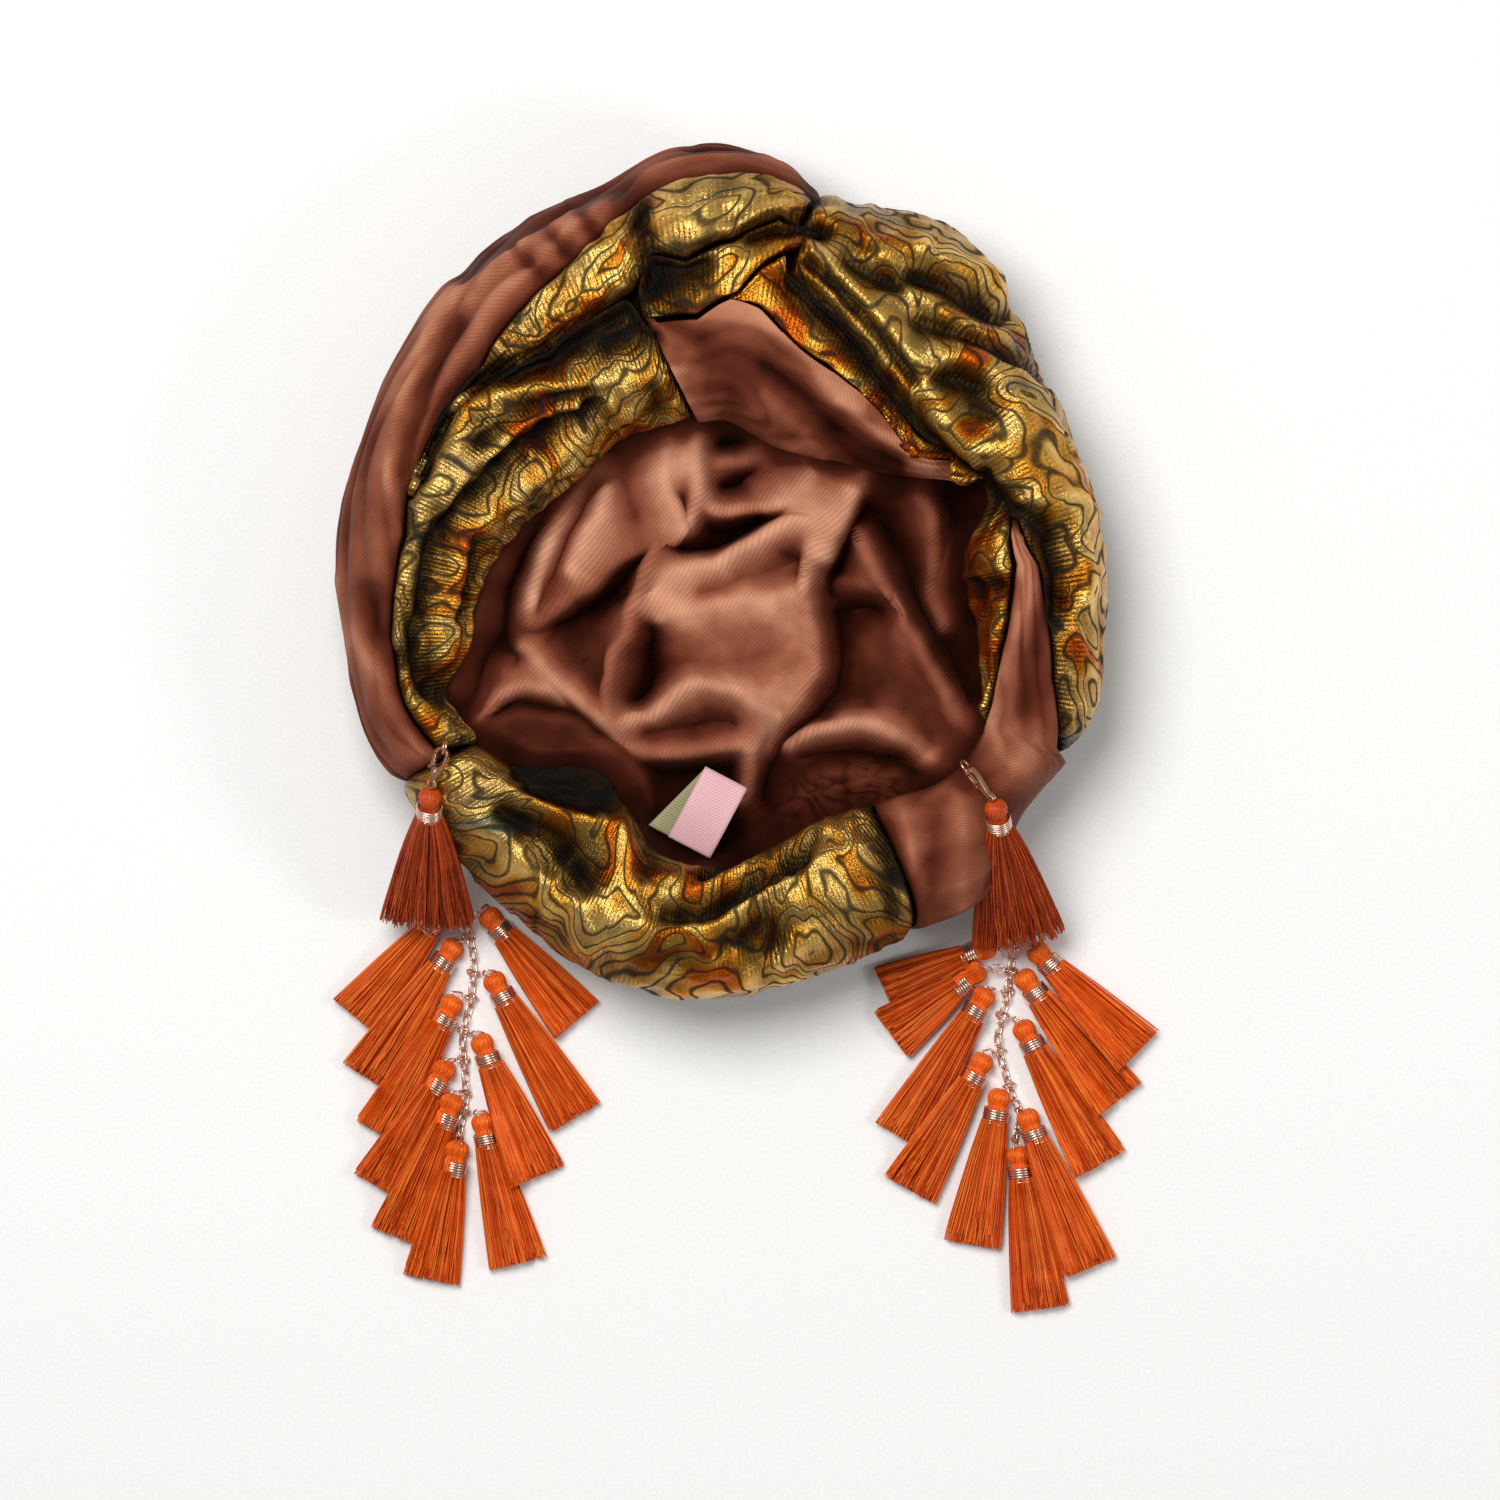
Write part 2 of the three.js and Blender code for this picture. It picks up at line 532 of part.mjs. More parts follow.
// Short straight wire with a blunt point at each end.
function wireRod(from, to) {
  const sides = 5;
  const matrix = alongDirection(from, to.clone().sub(from), 0);
  const length = to.distanceTo(from);
  const rings = [0, length - seatGap].map((distance) => {
    const ring = [];
    for (let k = 0; k < sides; k += 1) {
      const angle = 2 * Math.PI * k / sides;
      ring.push(new THREE.Vector3(distance, linkWire / 2 * Math.cos(angle),
        linkWire / 2 * Math.sin(angle)).applyMatrix4(matrix));
    }
    return ring;
  });
  return lofted(rings, new THREE.Vector3(-linkWire / 2, 0, 0).applyMatrix4(matrix),
    new THREE.Vector3(length - seatGap / 2, 0, 0).applyMatrix4(matrix));
}

// Matrix that lays local X along a direction and rolls the piece about it.
function alongDirection(origin, direction, roll) {
  const ahead = direction.clone().normalize();
  const side = new THREE.Vector3(-ahead.y, ahead.x, 0).normalize();
  const up = new THREE.Vector3().crossVectors(ahead, side);
  const turned = side.clone().multiplyScalar(Math.cos(roll * turn))
    .addScaledVector(up, Math.sin(roll * turn));
  const normal = new THREE.Vector3().crossVectors(ahead, turned);
  return new THREE.Matrix4().makeBasis(ahead, turned, normal).setPosition(origin);
}

// The two drops. x and y are shares of the drop's length from its jump ring, and the roll of the
// clasp is in degrees. The chain comes out of the top tassel's skirt. Side -1 tassels lie each
// over the one above it, side 1 tassels each under it.
const tasselColumns = ['name', 'side', 'headX', 'headY', 'endX', 'endY'];
const drops = [
  {
    name: 'left', hangAt: 201.5, hangShare: 0.31, roll: 28,
    topHead: [-0.031, -0.093], topEnd: [-0.036, -0.322],
    chain: table(['x', 'y'], [[0.021, -0.300], [0.036, -0.345], [0.046, -0.392],
      [0.041, -0.468], [0.026, -0.541], [0.031, -0.612], [0.030, -0.660], [0.020, -0.712]]),
    tassels: table(tasselColumns, [
      ['left_tassel_1', -1, 0.002, -0.292, -0.172, -0.501],
      ['left_tassel_2', -1, 0.017, -0.357, -0.150, -0.614],
      ['left_tassel_3', -1, 0.015, -0.460, -0.126, -0.716],
      ['left_tassel_4', -1, 0.002, -0.580, -0.129, -0.815],
      ['left_tassel_5', -1, 0.013, -0.641, -0.094, -0.908],
      ['left_tassel_6', -1, 0.020, -0.726, -0.031, -0.986],
      ['left_tassel_7', 1, 0.065, -0.301, 0.238, -0.506],
      ['left_tassel_8', 1, 0.076, -0.418, 0.235, -0.686],
      ['left_tassel_9', 1, 0.055, -0.531, 0.165, -0.795],
      ['left_tassel_10', 1, 0.059, -0.677, 0.129, -0.956],
    ]),
  },
  {
    name: 'right', hangAt: 332.5, hangShare: 0.03, roll: 62,
    topHead: [0.068, -0.083], topEnd: [0.102, -0.320],
    chain: table(['x', 'y'], [[0.096, -0.297], [0.092, -0.350], [0.080, -0.433],
      [0.065, -0.506], [0.080, -0.571], [0.092, -0.608], [0.107, -0.645], [0.098, -0.682]]),
    tassels: table(tasselColumns, [
      ['right_tassel_1', -1, 0.060, -0.328, -0.142, -0.421],
      ['right_tassel_2', -1, 0.040, -0.370, -0.133, -0.497],
      ['right_tassel_3', -1, 0.048, -0.410, -0.116, -0.686],
      ['right_tassel_4', -1, 0.044, -0.531, -0.098, -0.784],
      ['right_tassel_5', -1, 0.070, -0.595, 0.017, -0.885],
      ['right_tassel_6', -1, 0.100, -0.702, 0.144, -1.004],
      ['right_tassel_7', 1, 0.126, -0.331, 0.325, -0.527],
      ['right_tassel_8', 1, 0.104, -0.379, 0.290, -0.617],
      ['right_tassel_9', 1, 0.104, -0.471, 0.255, -0.737],
      ['right_tassel_10', 1, 0.113, -0.634, 0.235, -0.928],
    ]),
  },
];

// Measures of one lying tassel: where a floor point falls along and beside it.
function layTassel(row, start) {
  const head = new THREE.Vector2(start.x + row.headX * dropLength, start.y + row.headY * dropLength);
  const end = new THREE.Vector2(start.x + row.endX * dropLength, start.y + row.endY * dropLength);
  const ahead = end.clone().sub(head);
  const length = ahead.length();
  ahead.normalize();
  return { name: row.name, head, ahead, length, beside: new THREE.Vector2(-ahead.y, ahead.x) };
}

// Half width and full depth of a small tassel at a distance from the top of its head.
const headRound = 0.45 * tasselHeadLength;
function tasselSize(distance, length) {
  const neck = tasselHeadLength + tasselBandLength;
  if (distance < tasselHeadLength) {
    const off = (distance - headRound) / (tasselHeadLength - headRound);
    const half = tasselHeadRadius * Math.sqrt(Math.max(0.06, 1 - 0.45 * off * off));
    return { half: distance < headRound ? tasselHeadRadius : half, depth: 2 * tasselHeadRadius };
  }
  if (distance < neck) return { half: tasselBandRadius, depth: 2 * tasselBandRadius };
  const part = Math.min(1, (distance - neck) / (length - neck));
  const half = THREE.MathUtils.lerp(tasselBandRadius, tasselSkirtWidth / 2, part ** 0.8);
  return { half, depth: THREE.MathUtils.lerp(1.7 * tasselBandRadius, tasselSkirtDepth, part ** 0.6) };
}

// Height of the tassels already laid at a floor point.
function pileHeight(laid, x, y) {
  let height = 0;
  for (const tassel of laid) {
    const dx = x - tassel.head.x;
    const dy = y - tassel.head.y;
    const distance = dx * tassel.ahead.x + dy * tassel.ahead.y;
    const aside = dx * tassel.beside.x + dy * tassel.beside.y;
    if (distance < -1 || distance > tassel.length + 1) continue;
    const size = tasselSize(Math.max(0, distance), tassel.length);
    const off = Math.abs(aside) / (size.half + 1);
    if (off < 1) height += seatGap + size.depth * Math.sqrt(1 - off * off);
  }
  return height;
}

// One lying tassel: thread head, wire-wound neck and a flat skirt of threads in locks.
function tasselGeometry(tassel, laid, grow) {
  const neck = tasselHeadLength + tasselBandLength;
  const skirt = tassel.length - neck;
  const stations = [headRound, tasselHeadLength - 0.3, tasselHeadLength + 0.2, neck,
    neck + 0.5 * skirt, tassel.length];
  const around = 8;
  const point = (distance, angle, scale) => {
    const size = tasselSize(distance, tassel.length);
    const lock = distance > neck ? 1 - 0.14 * (Math.round(angle / 45) % 2) : 1;
    const aside = (size.half * scale * lock + grow) * Math.cos(angle * turn);
    const x = tassel.head.x + distance * tassel.ahead.x + aside * tassel.beside.x;
    const y = tassel.head.y + distance * tassel.ahead.y + aside * tassel.beside.y;
    const lift = (size.depth / 2) * scale * lock + grow;
    return new THREE.Vector3(x, y, pileHeight(laid, x, y) + seatGap / 2 + size.depth / 2
      + lift * Math.sin(angle * turn));
  };
  const rings = stations.map((distance) => {
    const ring = [];
    for (let k = 0; k < around; k += 1) ring.push(point(distance, 360 * k / around, 1));
    return ring;
  });
  return lofted(rings, point(-grow, 0, 0), point(tassel.length + grow, 0, 0));
}

// The darker top tassel, hanging from the clasp down to the floor.
function topTasselGeometry(from, to, grow) {
  const ahead = to.clone().sub(from);
  const length = ahead.length();
  const matrix = alongDirection(from, ahead, 0);
  const neck = tasselHeadLength + tasselBandLength;
  const skirt = length - neck;
  const stations = table(['distance', 'half', 'depth'], [
    [headRound, tasselHeadRadius, tasselHeadRadius],
    [tasselHeadLength - 0.3, tasselHeadRadius * 0.8, tasselHeadRadius * 0.8],
    [tasselHeadLength + 0.2, tasselBandRadius, tasselBandRadius],
    [neck, tasselBandRadius, tasselBandRadius],
    [neck + 0.5 * skirt, topTasselWidth * 0.36, topTasselDepth * 0.5],
    [length, topTasselWidth * 0.5, topTasselDepth * 0.5],
  ]);
  const around = 12;
  const rings = stations.map((station) => {
    const ring = [];
    for (let k = 0; k < around; k += 1) {
      const angle = 2 * Math.PI * k / around;
      const lock = station.distance > neck ? 1 - 0.1 * (k % 2) : 1;
      ring.push(new THREE.Vector3(station.distance, (station.half * lock + grow) * Math.cos(angle),
        (station.depth * lock + grow) * Math.sin(angle)).applyMatrix4(matrix));
    }
    return ring;
  });
  return lofted(rings, new THREE.Vector3(-grow, 0, 0).applyMatrix4(matrix),
    new THREE.Vector3(length + grow, 0, 0).applyMatrix4(matrix));
}

// A run of interlocked links along the floor, with a short wire out to the head of each tassel.
function chainSolid(points, heads) {
  const route = new THREE.CatmullRomCurve3(points);
  const pitch = linkLength - 2 * linkWire + linkMeld;
  const count = Math.floor(route.getLength() / pitch);
  const links = [];
  for (let i = 0; i < count; i += 1) {
    const middle = route.getPointAt((i + 0.5) / count);
    middle.z = Math.max(middle.z, points[points.length - 1].z);
    const ahead = route.getTangentAt((i + 0.5) / count);
    if (middle.z < points[points.length - 1].z + linkWire) ahead.setZ(0);
    const link = wireOval(linkLength, linkWidth, linkWire, 10);
    links.push(toSolid(link.applyMatrix4(alongDirection(middle, ahead, i % 2 ? 45 : -45))));
  }
  for (const head of heads) {
    let near = points[0];
    for (let i = 0; i <= 60; i += 1) {
      const place = route.getPointAt(i / 60);
      if (place.distanceTo(head) < near.distanceTo(head)) near = place;
    }
    links.push(toSolid(wireRod(near, head)));
  }
  return mainBody(manifold.Manifold.union(links)).simplify(0.09);
}

// Lobster clasp, lying flat, X from the jump ring to the tassel, eye at its origin. The lever turns
// in a round recess of the body and closes the eye.
const eyeRadius = claspEyeWidth / 2;
const eyeEnd = (claspEyeLength - claspEyeWidth) / 2;
const claspOuter = eyeRadius + claspWall;
const knuckle = 0.8;
const recess = knuckle + 0.35;
const leverPivot = new THREE.Vector2(eyeEnd + recess - 0.05, -eyeRadius - 0.2);
const thumb = 1.6;
const loopRadius = 1.6;
const loopHole = 0.8;
const loopCentre = claspLength - eyeEnd - claspOuter - loopRadius;

function arc(centreX, centreY, radius, from, to, steps) {
  const points = [];
  for (let i = 0; i <= steps; i += 1) {
    const angle = THREE.MathUtils.lerp(from, to, i / steps) * turn;
    points.push(new THREE.Vector2(centreX + radius * Math.cos(angle),
      centreY + radius * Math.sin(angle)));
  }
  return points;
}

function plate(outline, thickness, holes = []) {
  const shape = new THREE.Shape(outline);
  shape.holes = holes.map((hole) => new THREE.Path(hole));
  const geometry = new THREE.ExtrudeGeometry(shape, { depth: thickness, bevelEnabled: false });
  return geometry.translate(0, 0, -thickness / 2);
}

function claspBody() {
  const outline = [
    ...arc(-eyeEnd, 0, claspOuter, 265, 90, 8),
    new THREE.Vector2(eyeEnd, claspOuter),
    new THREE.Vector2(loopCentre - loopRadius - 0.6, 0.8),
    ...arc(loopCentre, 0, loopRadius, 150, -150, 8),
    new THREE.Vector2(loopCentre - loopRadius - 0.6, -0.8),
    ...arc(leverPivot.x, leverPivot.y, recess, 10, 70, 3),
    ...arc(eyeEnd, 0, eyeRadius, -25, 90, 5),
    ...arc(-eyeEnd, 0, eyeRadius, 90, 265, 7),
  ];
  return plate(outline, claspThickness, [arc(loopCentre, 0, loopHole, 0, 324, 9)]);
}

function claspLever() {
  const tip = -eyeEnd + 0.15;
  const outline = [
    new THREE.Vector2(tip, -eyeRadius),
    new THREE.Vector2(tip, -claspOuter),
    ...arc(leverPivot.x, leverPivot.y, knuckle, 250, 290, 2),
    new THREE.Vector2(leverPivot.x + 0.8 * thumb, leverPivot.y - 0.9 * thumb),
    new THREE.Vector2(leverPivot.x + thumb, leverPivot.y - 0.55 * thumb),
    ...arc(leverPivot.x, leverPivot.y, knuckle, 340, 500, 5),
  ];
  return plate(outline, claspThickness * 0.8);
}

// A folded ribbon loop that stands up from the lining's back edge.
function labelSolid() {
  const bend = 1.5 * labelWall;
  const foot = new THREE.Vector3(-0.17 * openingRadius, -0.88 * openingRadius, 0);
  foot.z = liningHeight(foot.x, foot.y) + bend + labelRise;
  const outline = [
    new THREE.Vector2(0, bend), ...arc(labelLength, 0, bend, 90, -90, 5),
    new THREE.Vector2(0, -bend), new THREE.Vector2(0, -bend + labelWall),
    ...arc(labelLength, 0, bend - labelWall, -90, 90, 4), new THREE.Vector2(0, bend - labelWall),
  ];
  const loop = plate(outline, labelWidth);
  loop.rotateX(Math.PI / 2);
  loop.applyMatrix4(new THREE.Matrix4().makeRotationY(-8 * turn));
  loop.applyMatrix4(new THREE.Matrix4().makeRotationZ(62 * turn));
  loop.translate(foot.x, foot.y, foot.z);
  return toSolid(loop);
}

const looks = {
  velvet: { color: 0x6b3d30, roughness: 0.85, metalness: 0 },
  lining: { color: 0x7a4a3a, roughness: 0.8, metalness: 0 },
  brocade: { color: 0xb8862d, roughness: 0.45, metalness: 0.5 },
  thread: { color: 0xd8500a, roughness: 0.6, metalness: 0 },
  darkThread: { color: 0x9c340e, roughness: 0.6, metalness: 0 },
  rose: { color: 0xd9ab8e, roughness: 0.25, metalness: 0.9 },
  ribbon: { color: 0xe0b0b4, roughness: 0.6, metalness: 0 },
};

const group = new THREE.Group();

function addPiece(name, geometry, look) {
  const shape = geometry.clone();
  shape.computeVertexNormals();
  const mesh = new THREE.Mesh(shape, new THREE.MeshStandardMaterial(looks[look]));
  mesh.name = name;
  group.add(mesh);
}

// Cap, wraps and lining, each cut clear of those already in place.
const placed = [toSolid(shellGeometry(seatGap * 0.8))];
addPiece('crown_shell', shellGeometry(0), 'velvet');
for (const wrap of wraps) {
  const solid = clearOf(toSolid(wrapGeometry(wrap, 0)), placed);
  addPiece(wrap.name, toGeometry(solid), wrap.cloth);
  placed.push(toSolid(wrapGeometry(wrap, seatGap * 0.8)), solid);
}
const label = labelSolid();
addPiece('label_loop', toGeometry(label), 'ribbon');
const liningSolid = clearOf(toSolid(liningGeometry()), [...placed, label]);
addPiece('crown_lining', toGeometry(liningSolid), 'lining');

// The two drops.
for (const drop of drops) {
  const hang = ringPoint(drop.hangAt, along(drop.hangShare), clothWall);
  hang.z = wideHeight + rimSection(drop.hangAt).halfHeight + clothWall + hangRise * foldHeight;
  const floor = (share) => new THREE.Vector3(hang.x + share[0] * dropLength,
    hang.y + share[1] * dropLength, 0);

  const topHead = floor(drop.topHead).setZ(hang.z - claspTip);
  const topEnd = floor(drop.topEnd).setZ(2 * tasselBandRadius + topTasselDepth / 2 + seatGap);
  const claspAhead = topHead.clone().sub(hang);
  const ring = wireOval(2 * jumpRingRadius + jumpRingWire, 2 * jumpRingRadius + jumpRingWire,
    jumpRingWire, 12);
  const eyeAway = jumpRingRadius + claspEyeLength / 2 - 1.5 * jumpRingWire;
  const claspPlace = hang.clone().addScaledVector(claspAhead.clone().normalize(), eyeAway);
  addPiece(`${drop.name}_jump_ring`,
    ring.applyMatrix4(alongDirection(hang, claspAhead, drop.roll + 50)), 'rose');
  const claspMatrix = alongDirection(claspPlace, claspAhead, drop.roll);
  addPiece(`${drop.name}_clasp_body`, claspBody().applyMatrix4(claspMatrix), 'rose');
  addPiece(`${drop.name}_clasp_lever`, claspLever().applyMatrix4(claspMatrix), 'rose');

  const headStart = claspPlace.clone().addScaledVector(claspAhead.clone().normalize(),
    loopCentre + loopRadius + seatGap);
  const topTassel = toSolid(topTasselGeometry(headStart, topEnd, 0));
  addPiece(`${drop.name}_top_tassel`, toGeometry(clearOf(topTassel, placed)), 'darkThread');

  const lowOrder = drop.tassels.filter((row) => row.side < 0);
  const highOrder = drop.tassels.filter((row) => row.side > 0).reverse();
  const laid = [];
  const solids = [toSolid(topTasselGeometry(headStart, topEnd, seatGap * 0.8))];
  for (const row of [...lowOrder, ...highOrder]) {
    const tassel = layTassel(row, hang);
    const solid = clearOf(toSolid(tasselGeometry(tassel, laid, 0)), [...placed, ...solids]);
    addPiece(row.name, toGeometry(solid), 'thread');
    solids.push(toSolid(tasselGeometry(tassel, laid, seatGap * 0.8)));
    laid.push(tassel);
  }

  const chainRise = (linkWidth - linkWire) / 2 * Math.SQRT1_2 + linkWire / 2 + linkWire / 8;
  const route = drop.chain.map((row) => floor([row.x, row.y]).setZ(chainRise));
  const fall = headStart.clone().sub(topEnd);
  const level = fall.clone().setZ(0);
  const inside = route[0].clone().sub(topEnd).dot(level) / level.lengthSq();
  route[0].setZ(topEnd.z + inside * fall.z);
  const heads = laid.map((tassel) => new THREE.Vector3(tassel.head.x, tassel.head.y,
    tasselHeadRadius));
  const chain = clearOf(chainSolid(route, heads), solids);
  addPiece(`${drop.name}_chain`, toGeometry(chain), 'rose');
}

export default group;
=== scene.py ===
# %% [markdown]
# A soft turban of velvet and brocade lies on its crown, so that we look down into its lined
# opening. Two tassel drops are clipped to its rim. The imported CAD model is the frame: it says where
# each piece is and how large. This script dresses that frame, piece by piece, in real cloth folds,
# threads and wire.

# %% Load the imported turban
import math
import bpy
import bmesh
import numpy as np
from mathutils import Matrix, Vector


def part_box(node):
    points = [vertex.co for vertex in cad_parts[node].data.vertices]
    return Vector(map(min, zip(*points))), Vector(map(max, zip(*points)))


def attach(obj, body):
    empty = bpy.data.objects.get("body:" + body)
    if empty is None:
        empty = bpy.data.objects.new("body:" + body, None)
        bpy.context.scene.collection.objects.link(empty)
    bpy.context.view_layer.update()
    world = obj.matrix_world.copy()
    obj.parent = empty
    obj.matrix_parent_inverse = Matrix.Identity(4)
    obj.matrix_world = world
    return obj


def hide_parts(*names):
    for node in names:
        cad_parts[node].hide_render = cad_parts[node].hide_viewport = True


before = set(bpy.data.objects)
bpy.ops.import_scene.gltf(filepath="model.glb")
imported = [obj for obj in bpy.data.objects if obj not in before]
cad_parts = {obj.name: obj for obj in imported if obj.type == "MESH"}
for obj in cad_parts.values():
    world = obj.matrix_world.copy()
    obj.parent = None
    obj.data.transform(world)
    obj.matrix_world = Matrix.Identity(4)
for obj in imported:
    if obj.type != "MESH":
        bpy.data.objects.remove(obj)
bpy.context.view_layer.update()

# %% [markdown]
# All shapes are worked out in millimetres, because the maker's sizes are, and are scaled to metres
# only when a mesh is made. The driving sizes are the same as those of the CAD model.

# %% Driving sizes of the turban, in millimetres
MM = 0.001
OUTLINE_RADIUS = 121
OPENING_RADIUS = 75
RIM_HEIGHT = 70
WIDE_HEIGHT = 32
REST_RADIUS = 72
CLOTH_WALL = 2.3
SEAT_GAP = 0.4
FOLD_HEIGHT = 8
HEM_ROLL = 2.6
OUTSIDE_PAD = 3.4
HEM_TURN = math.radians(150)
UNDER_TURN = math.radians(90)
SHEET_WALL = 1.6
LINING_WALL = 1.4
print("outline", 2 * OUTLINE_RADIUS, "mm across, opening", 2 * OPENING_RADIUS, "mm across")

# %% [markdown]
# The ring of cloth has a section that changes round the head. One row every 15 degrees holds three
# shares: how far out the outline is, how far out the hem of the opening is, and how high the crest.
# A smooth curve through the rows gives every angle between them.

# %% The rim, one row every 15 degrees from +X
RIM_STEP = 15
OUTER, HEM, CREST = range(3)
RIM = np.array([
    [0.98, 1.11, 0.86], [1.00, 1.08, 0.88], [1.03, 1.28, 0.91], [1.11, 0.99, 0.95],
    [1.21, 0.90, 0.98], [1.18, 0.87, 1.00], [1.28, 0.94, 1.00], [1.21, 0.93, 0.99],
    [1.18, 0.93, 0.97], [1.11, 0.90, 0.95], [1.05, 0.96, 0.92], [1.01, 1.03, 0.88],
    [0.95, 1.08, 0.83], [0.93, 1.18, 0.76], [0.88, 1.05, 0.73], [0.88, 0.76, 0.76],
    [0.89, 0.80, 0.79], [0.92, 0.95, 0.80], [0.92, 0.96, 0.80], [0.89, 0.91, 0.79],
    [0.90, 0.88, 0.78], [0.95, 0.96, 0.76], [0.90, 1.14, 0.75], [0.96, 1.16, 0.80],
])


def rim_share(at, column):
    """Smooth value of one rim column at angles in degrees."""
    place = np.mod(at, 360) / RIM_STEP
    index = np.floor(place).astype(int)
    part = place - index
    before, low, high, after = (RIM[(index + step) % len(RIM), column] for step in (-1, 0, 1, 2))
    bend = 2 * before - 5 * low + 4 * high - after
    twist = 3 * (low - high) + after - before
    return low + 0.5 * part * (high - before + part * (bend + part * twist))


def rim_section(at):
    """Hem radius, outer radius, half width and half height of the ring's section at an angle."""
    hem = rim_share(at, HEM) * OPENING_RADIUS + HEM_ROLL
    outer = rim_share(at, OUTER) * OUTLINE_RADIUS - OUTSIDE_PAD
    half_width = (outer - hem) / (1 - math.cos(HEM_TURN))
    half_height = rim_share(at, CREST) * RIM_HEIGHT - WIDE_HEIGHT - CLOTH_WALL - FOLD_HEIGHT / 2
    return hem, outer, half_width, half_height


print("hem radius at the front:", round(float(rim_section(np.array(90.0))[0]), 1), "mm")

# %% [markdown]
# A place across the ring is 0 at the hem, 1 at the widest point and 2 at the flat crown below. The
# same function gives a point on the cap and, with a lift, a point on any fold that stands off it.

# %% Points on the ring


def along(share):
    """Place across the ring of a share of the width that shows from above."""
    share = np.asarray(share, float)
    cosine = math.cos(HEM_TURN) * (1 - share) + share
    return np.where(share > 1, share, 1 - np.arccos(np.clip(cosine, -1, 1)) / HEM_TURN)


def ring_point(at, place, lift):
    """Points on the ring, lifted off its surface along its normal."""
    _, outer, half_width, half_height = rim_section(at)
    over = place <= 1
    angle = np.where(over, HEM_TURN * (1 - place), -UNDER_TURN * (place - 1))
    width = np.where(over, half_width, outer - REST_RADIUS)
    height = np.where(over, half_height, WIDE_HEIGHT)
    start = np.where(over, outer - half_width, REST_RADIUS)
    out, up = np.cos(angle) / width, np.sin(angle) / height
    size = np.hypot(out, up)
    radius = start + width * np.cos(angle) + lift * out / size
    z = WIDE_HEIGHT + height * np.sin(angle) + lift * up / size
    turn = np.radians(at)
    return np.stack([radius * np.cos(turn), radius * np.sin(turn), z], -1)


def section_length(at):
    """Length of the section from the hem to the widest place, in millimetres."""
    _, _, half_width, half_height = rim_section(at)
    return HEM_TURN * np.sqrt((half_width ** 2 + half_height ** 2) / 2)


print("over the roll at the front:", round(float(section_length(np.array(90.0)))), "mm")

# %% [markdown]
# Cloth never folds evenly. A smooth random field, made of a small fixed lattice of random numbers,
# gives every wrinkle its wander. The seed makes it the same on each run.

# %% Helpers for wrinkles and meshes


def soft_noise(x, y, seed):
    """Smooth random values from -1 to 1, with about one bump per unit of x and y."""
    grid = np.random.default_rng(seed).uniform(-1, 1, (64, 64))
    column, row = np.floor(x).astype(int), np.floor(y).astype(int)
    fx, fy = x - column, y - row
    fx, fy = fx * fx * (3 - 2 * fx), fy * fy * (3 - 2 * fy)
    near = grid[row % 64, column % 64] * (1 - fx) + grid[row % 64, (column + 1) % 64] * fx
    far = grid[(row + 1) % 64, column % 64] * (1 - fx) + grid[(row + 1) % 64, (column + 1) % 64] * fx
    return near * (1 - fy) + far * fy


def smooth_step(value, low, high):
    """0 below low, 1 above high and an even curve between."""
    part = np.clip((value - low) / (high - low), 0, 1)
    return part * part * (3 - 2 * part)


def grid_faces(columns, rows, closed=False):
    """Quads of a grid of points, column after column."""
    i, j = np.meshgrid(np.arange(columns - (not closed)), np.arange(rows - 1), indexing="ij")
    near, far = i * rows + j, (i + 1) % columns * rows + j
    return np.stack([near, near + 1, far + 1, far], -1).reshape(-1, 4).tolist()


def add_object(name, data):
    """A new object of the scene."""
    piece = bpy.data.objects.new(name, data)
    bpy.context.scene.collection.objects.link(piece)
    return piece


def cloth_mesh(name, points, faces, material, uv=None, ridge=None):
    """A smooth named object from points in millimetres, with its own UV map in millimetres."""
    mesh = bpy.data.meshes.new(name)
    mesh.from_pydata((np.asarray(points).reshape(-1, 3) * MM).tolist(), [], faces)
    mesh.shade_smooth()
    if uv is not None:
        corners = np.empty(len(mesh.loops), int)
        mesh.loops.foreach_get("vertex_index", corners)
        layer = mesh.uv_layers.new(name="cloth")
        layer.data.foreach_set("uv", np.asarray(uv, float).reshape(-1, 2)[corners].ravel())
    if ridge is not None:
        values = mesh.attributes.new("ridge", "FLOAT", "POINT")
        values.data.foreach_set("value", np.asarray(ridge, float).ravel())
    mesh.materials.append(material)
    return add_object(name, mesh)


def weld(piece, reach=1e-6, turned=False):
    """Joins points that meet within a reach in metres, and turns the faces over if asked."""
    shape = bmesh.new()
    shape.from_mesh(piece.data)
    bmesh.ops.remove_doubles(shape, verts=shape.verts, dist=reach)
    if turned:
        bmesh.ops.reverse_faces(shape, faces=shape.faces)
    shape.to_mesh(piece.data)
    shape.free()
    return piece


def give_wall(piece, wall):
    """Gives an open sheet its thickness, inwards."""
    solidify = piece.modifiers.new("cloth wall", "SOLIDIFY")
    solidify.thickness = wall * MM
    solidify.offset = -1
    return piece


print("noise at four places in a row:", np.round(soft_noise(np.arange(4.0), np.zeros(4), 1), 2))

# %% [markdown]
# A material is a small graph of nodes. One function adds a node, sets it and links it, so that each
# finish below reads as a list of what the real surface does to light. Colours are written as the
# hex values that an eye would pick from a screen, and turned to linear light here.

# %% Helpers for materials


def linear(colour, alpha=1.0):
    """Linear colour from an sRGB hex value."""
    parts = [int(colour[i:i + 2], 16) / 255 for i in (1, 3, 5)]
    return [p / 12.92 if p <= 0.04045 else ((p + 0.055) / 1.055) ** 2.4 for p in parts] + [alpha]


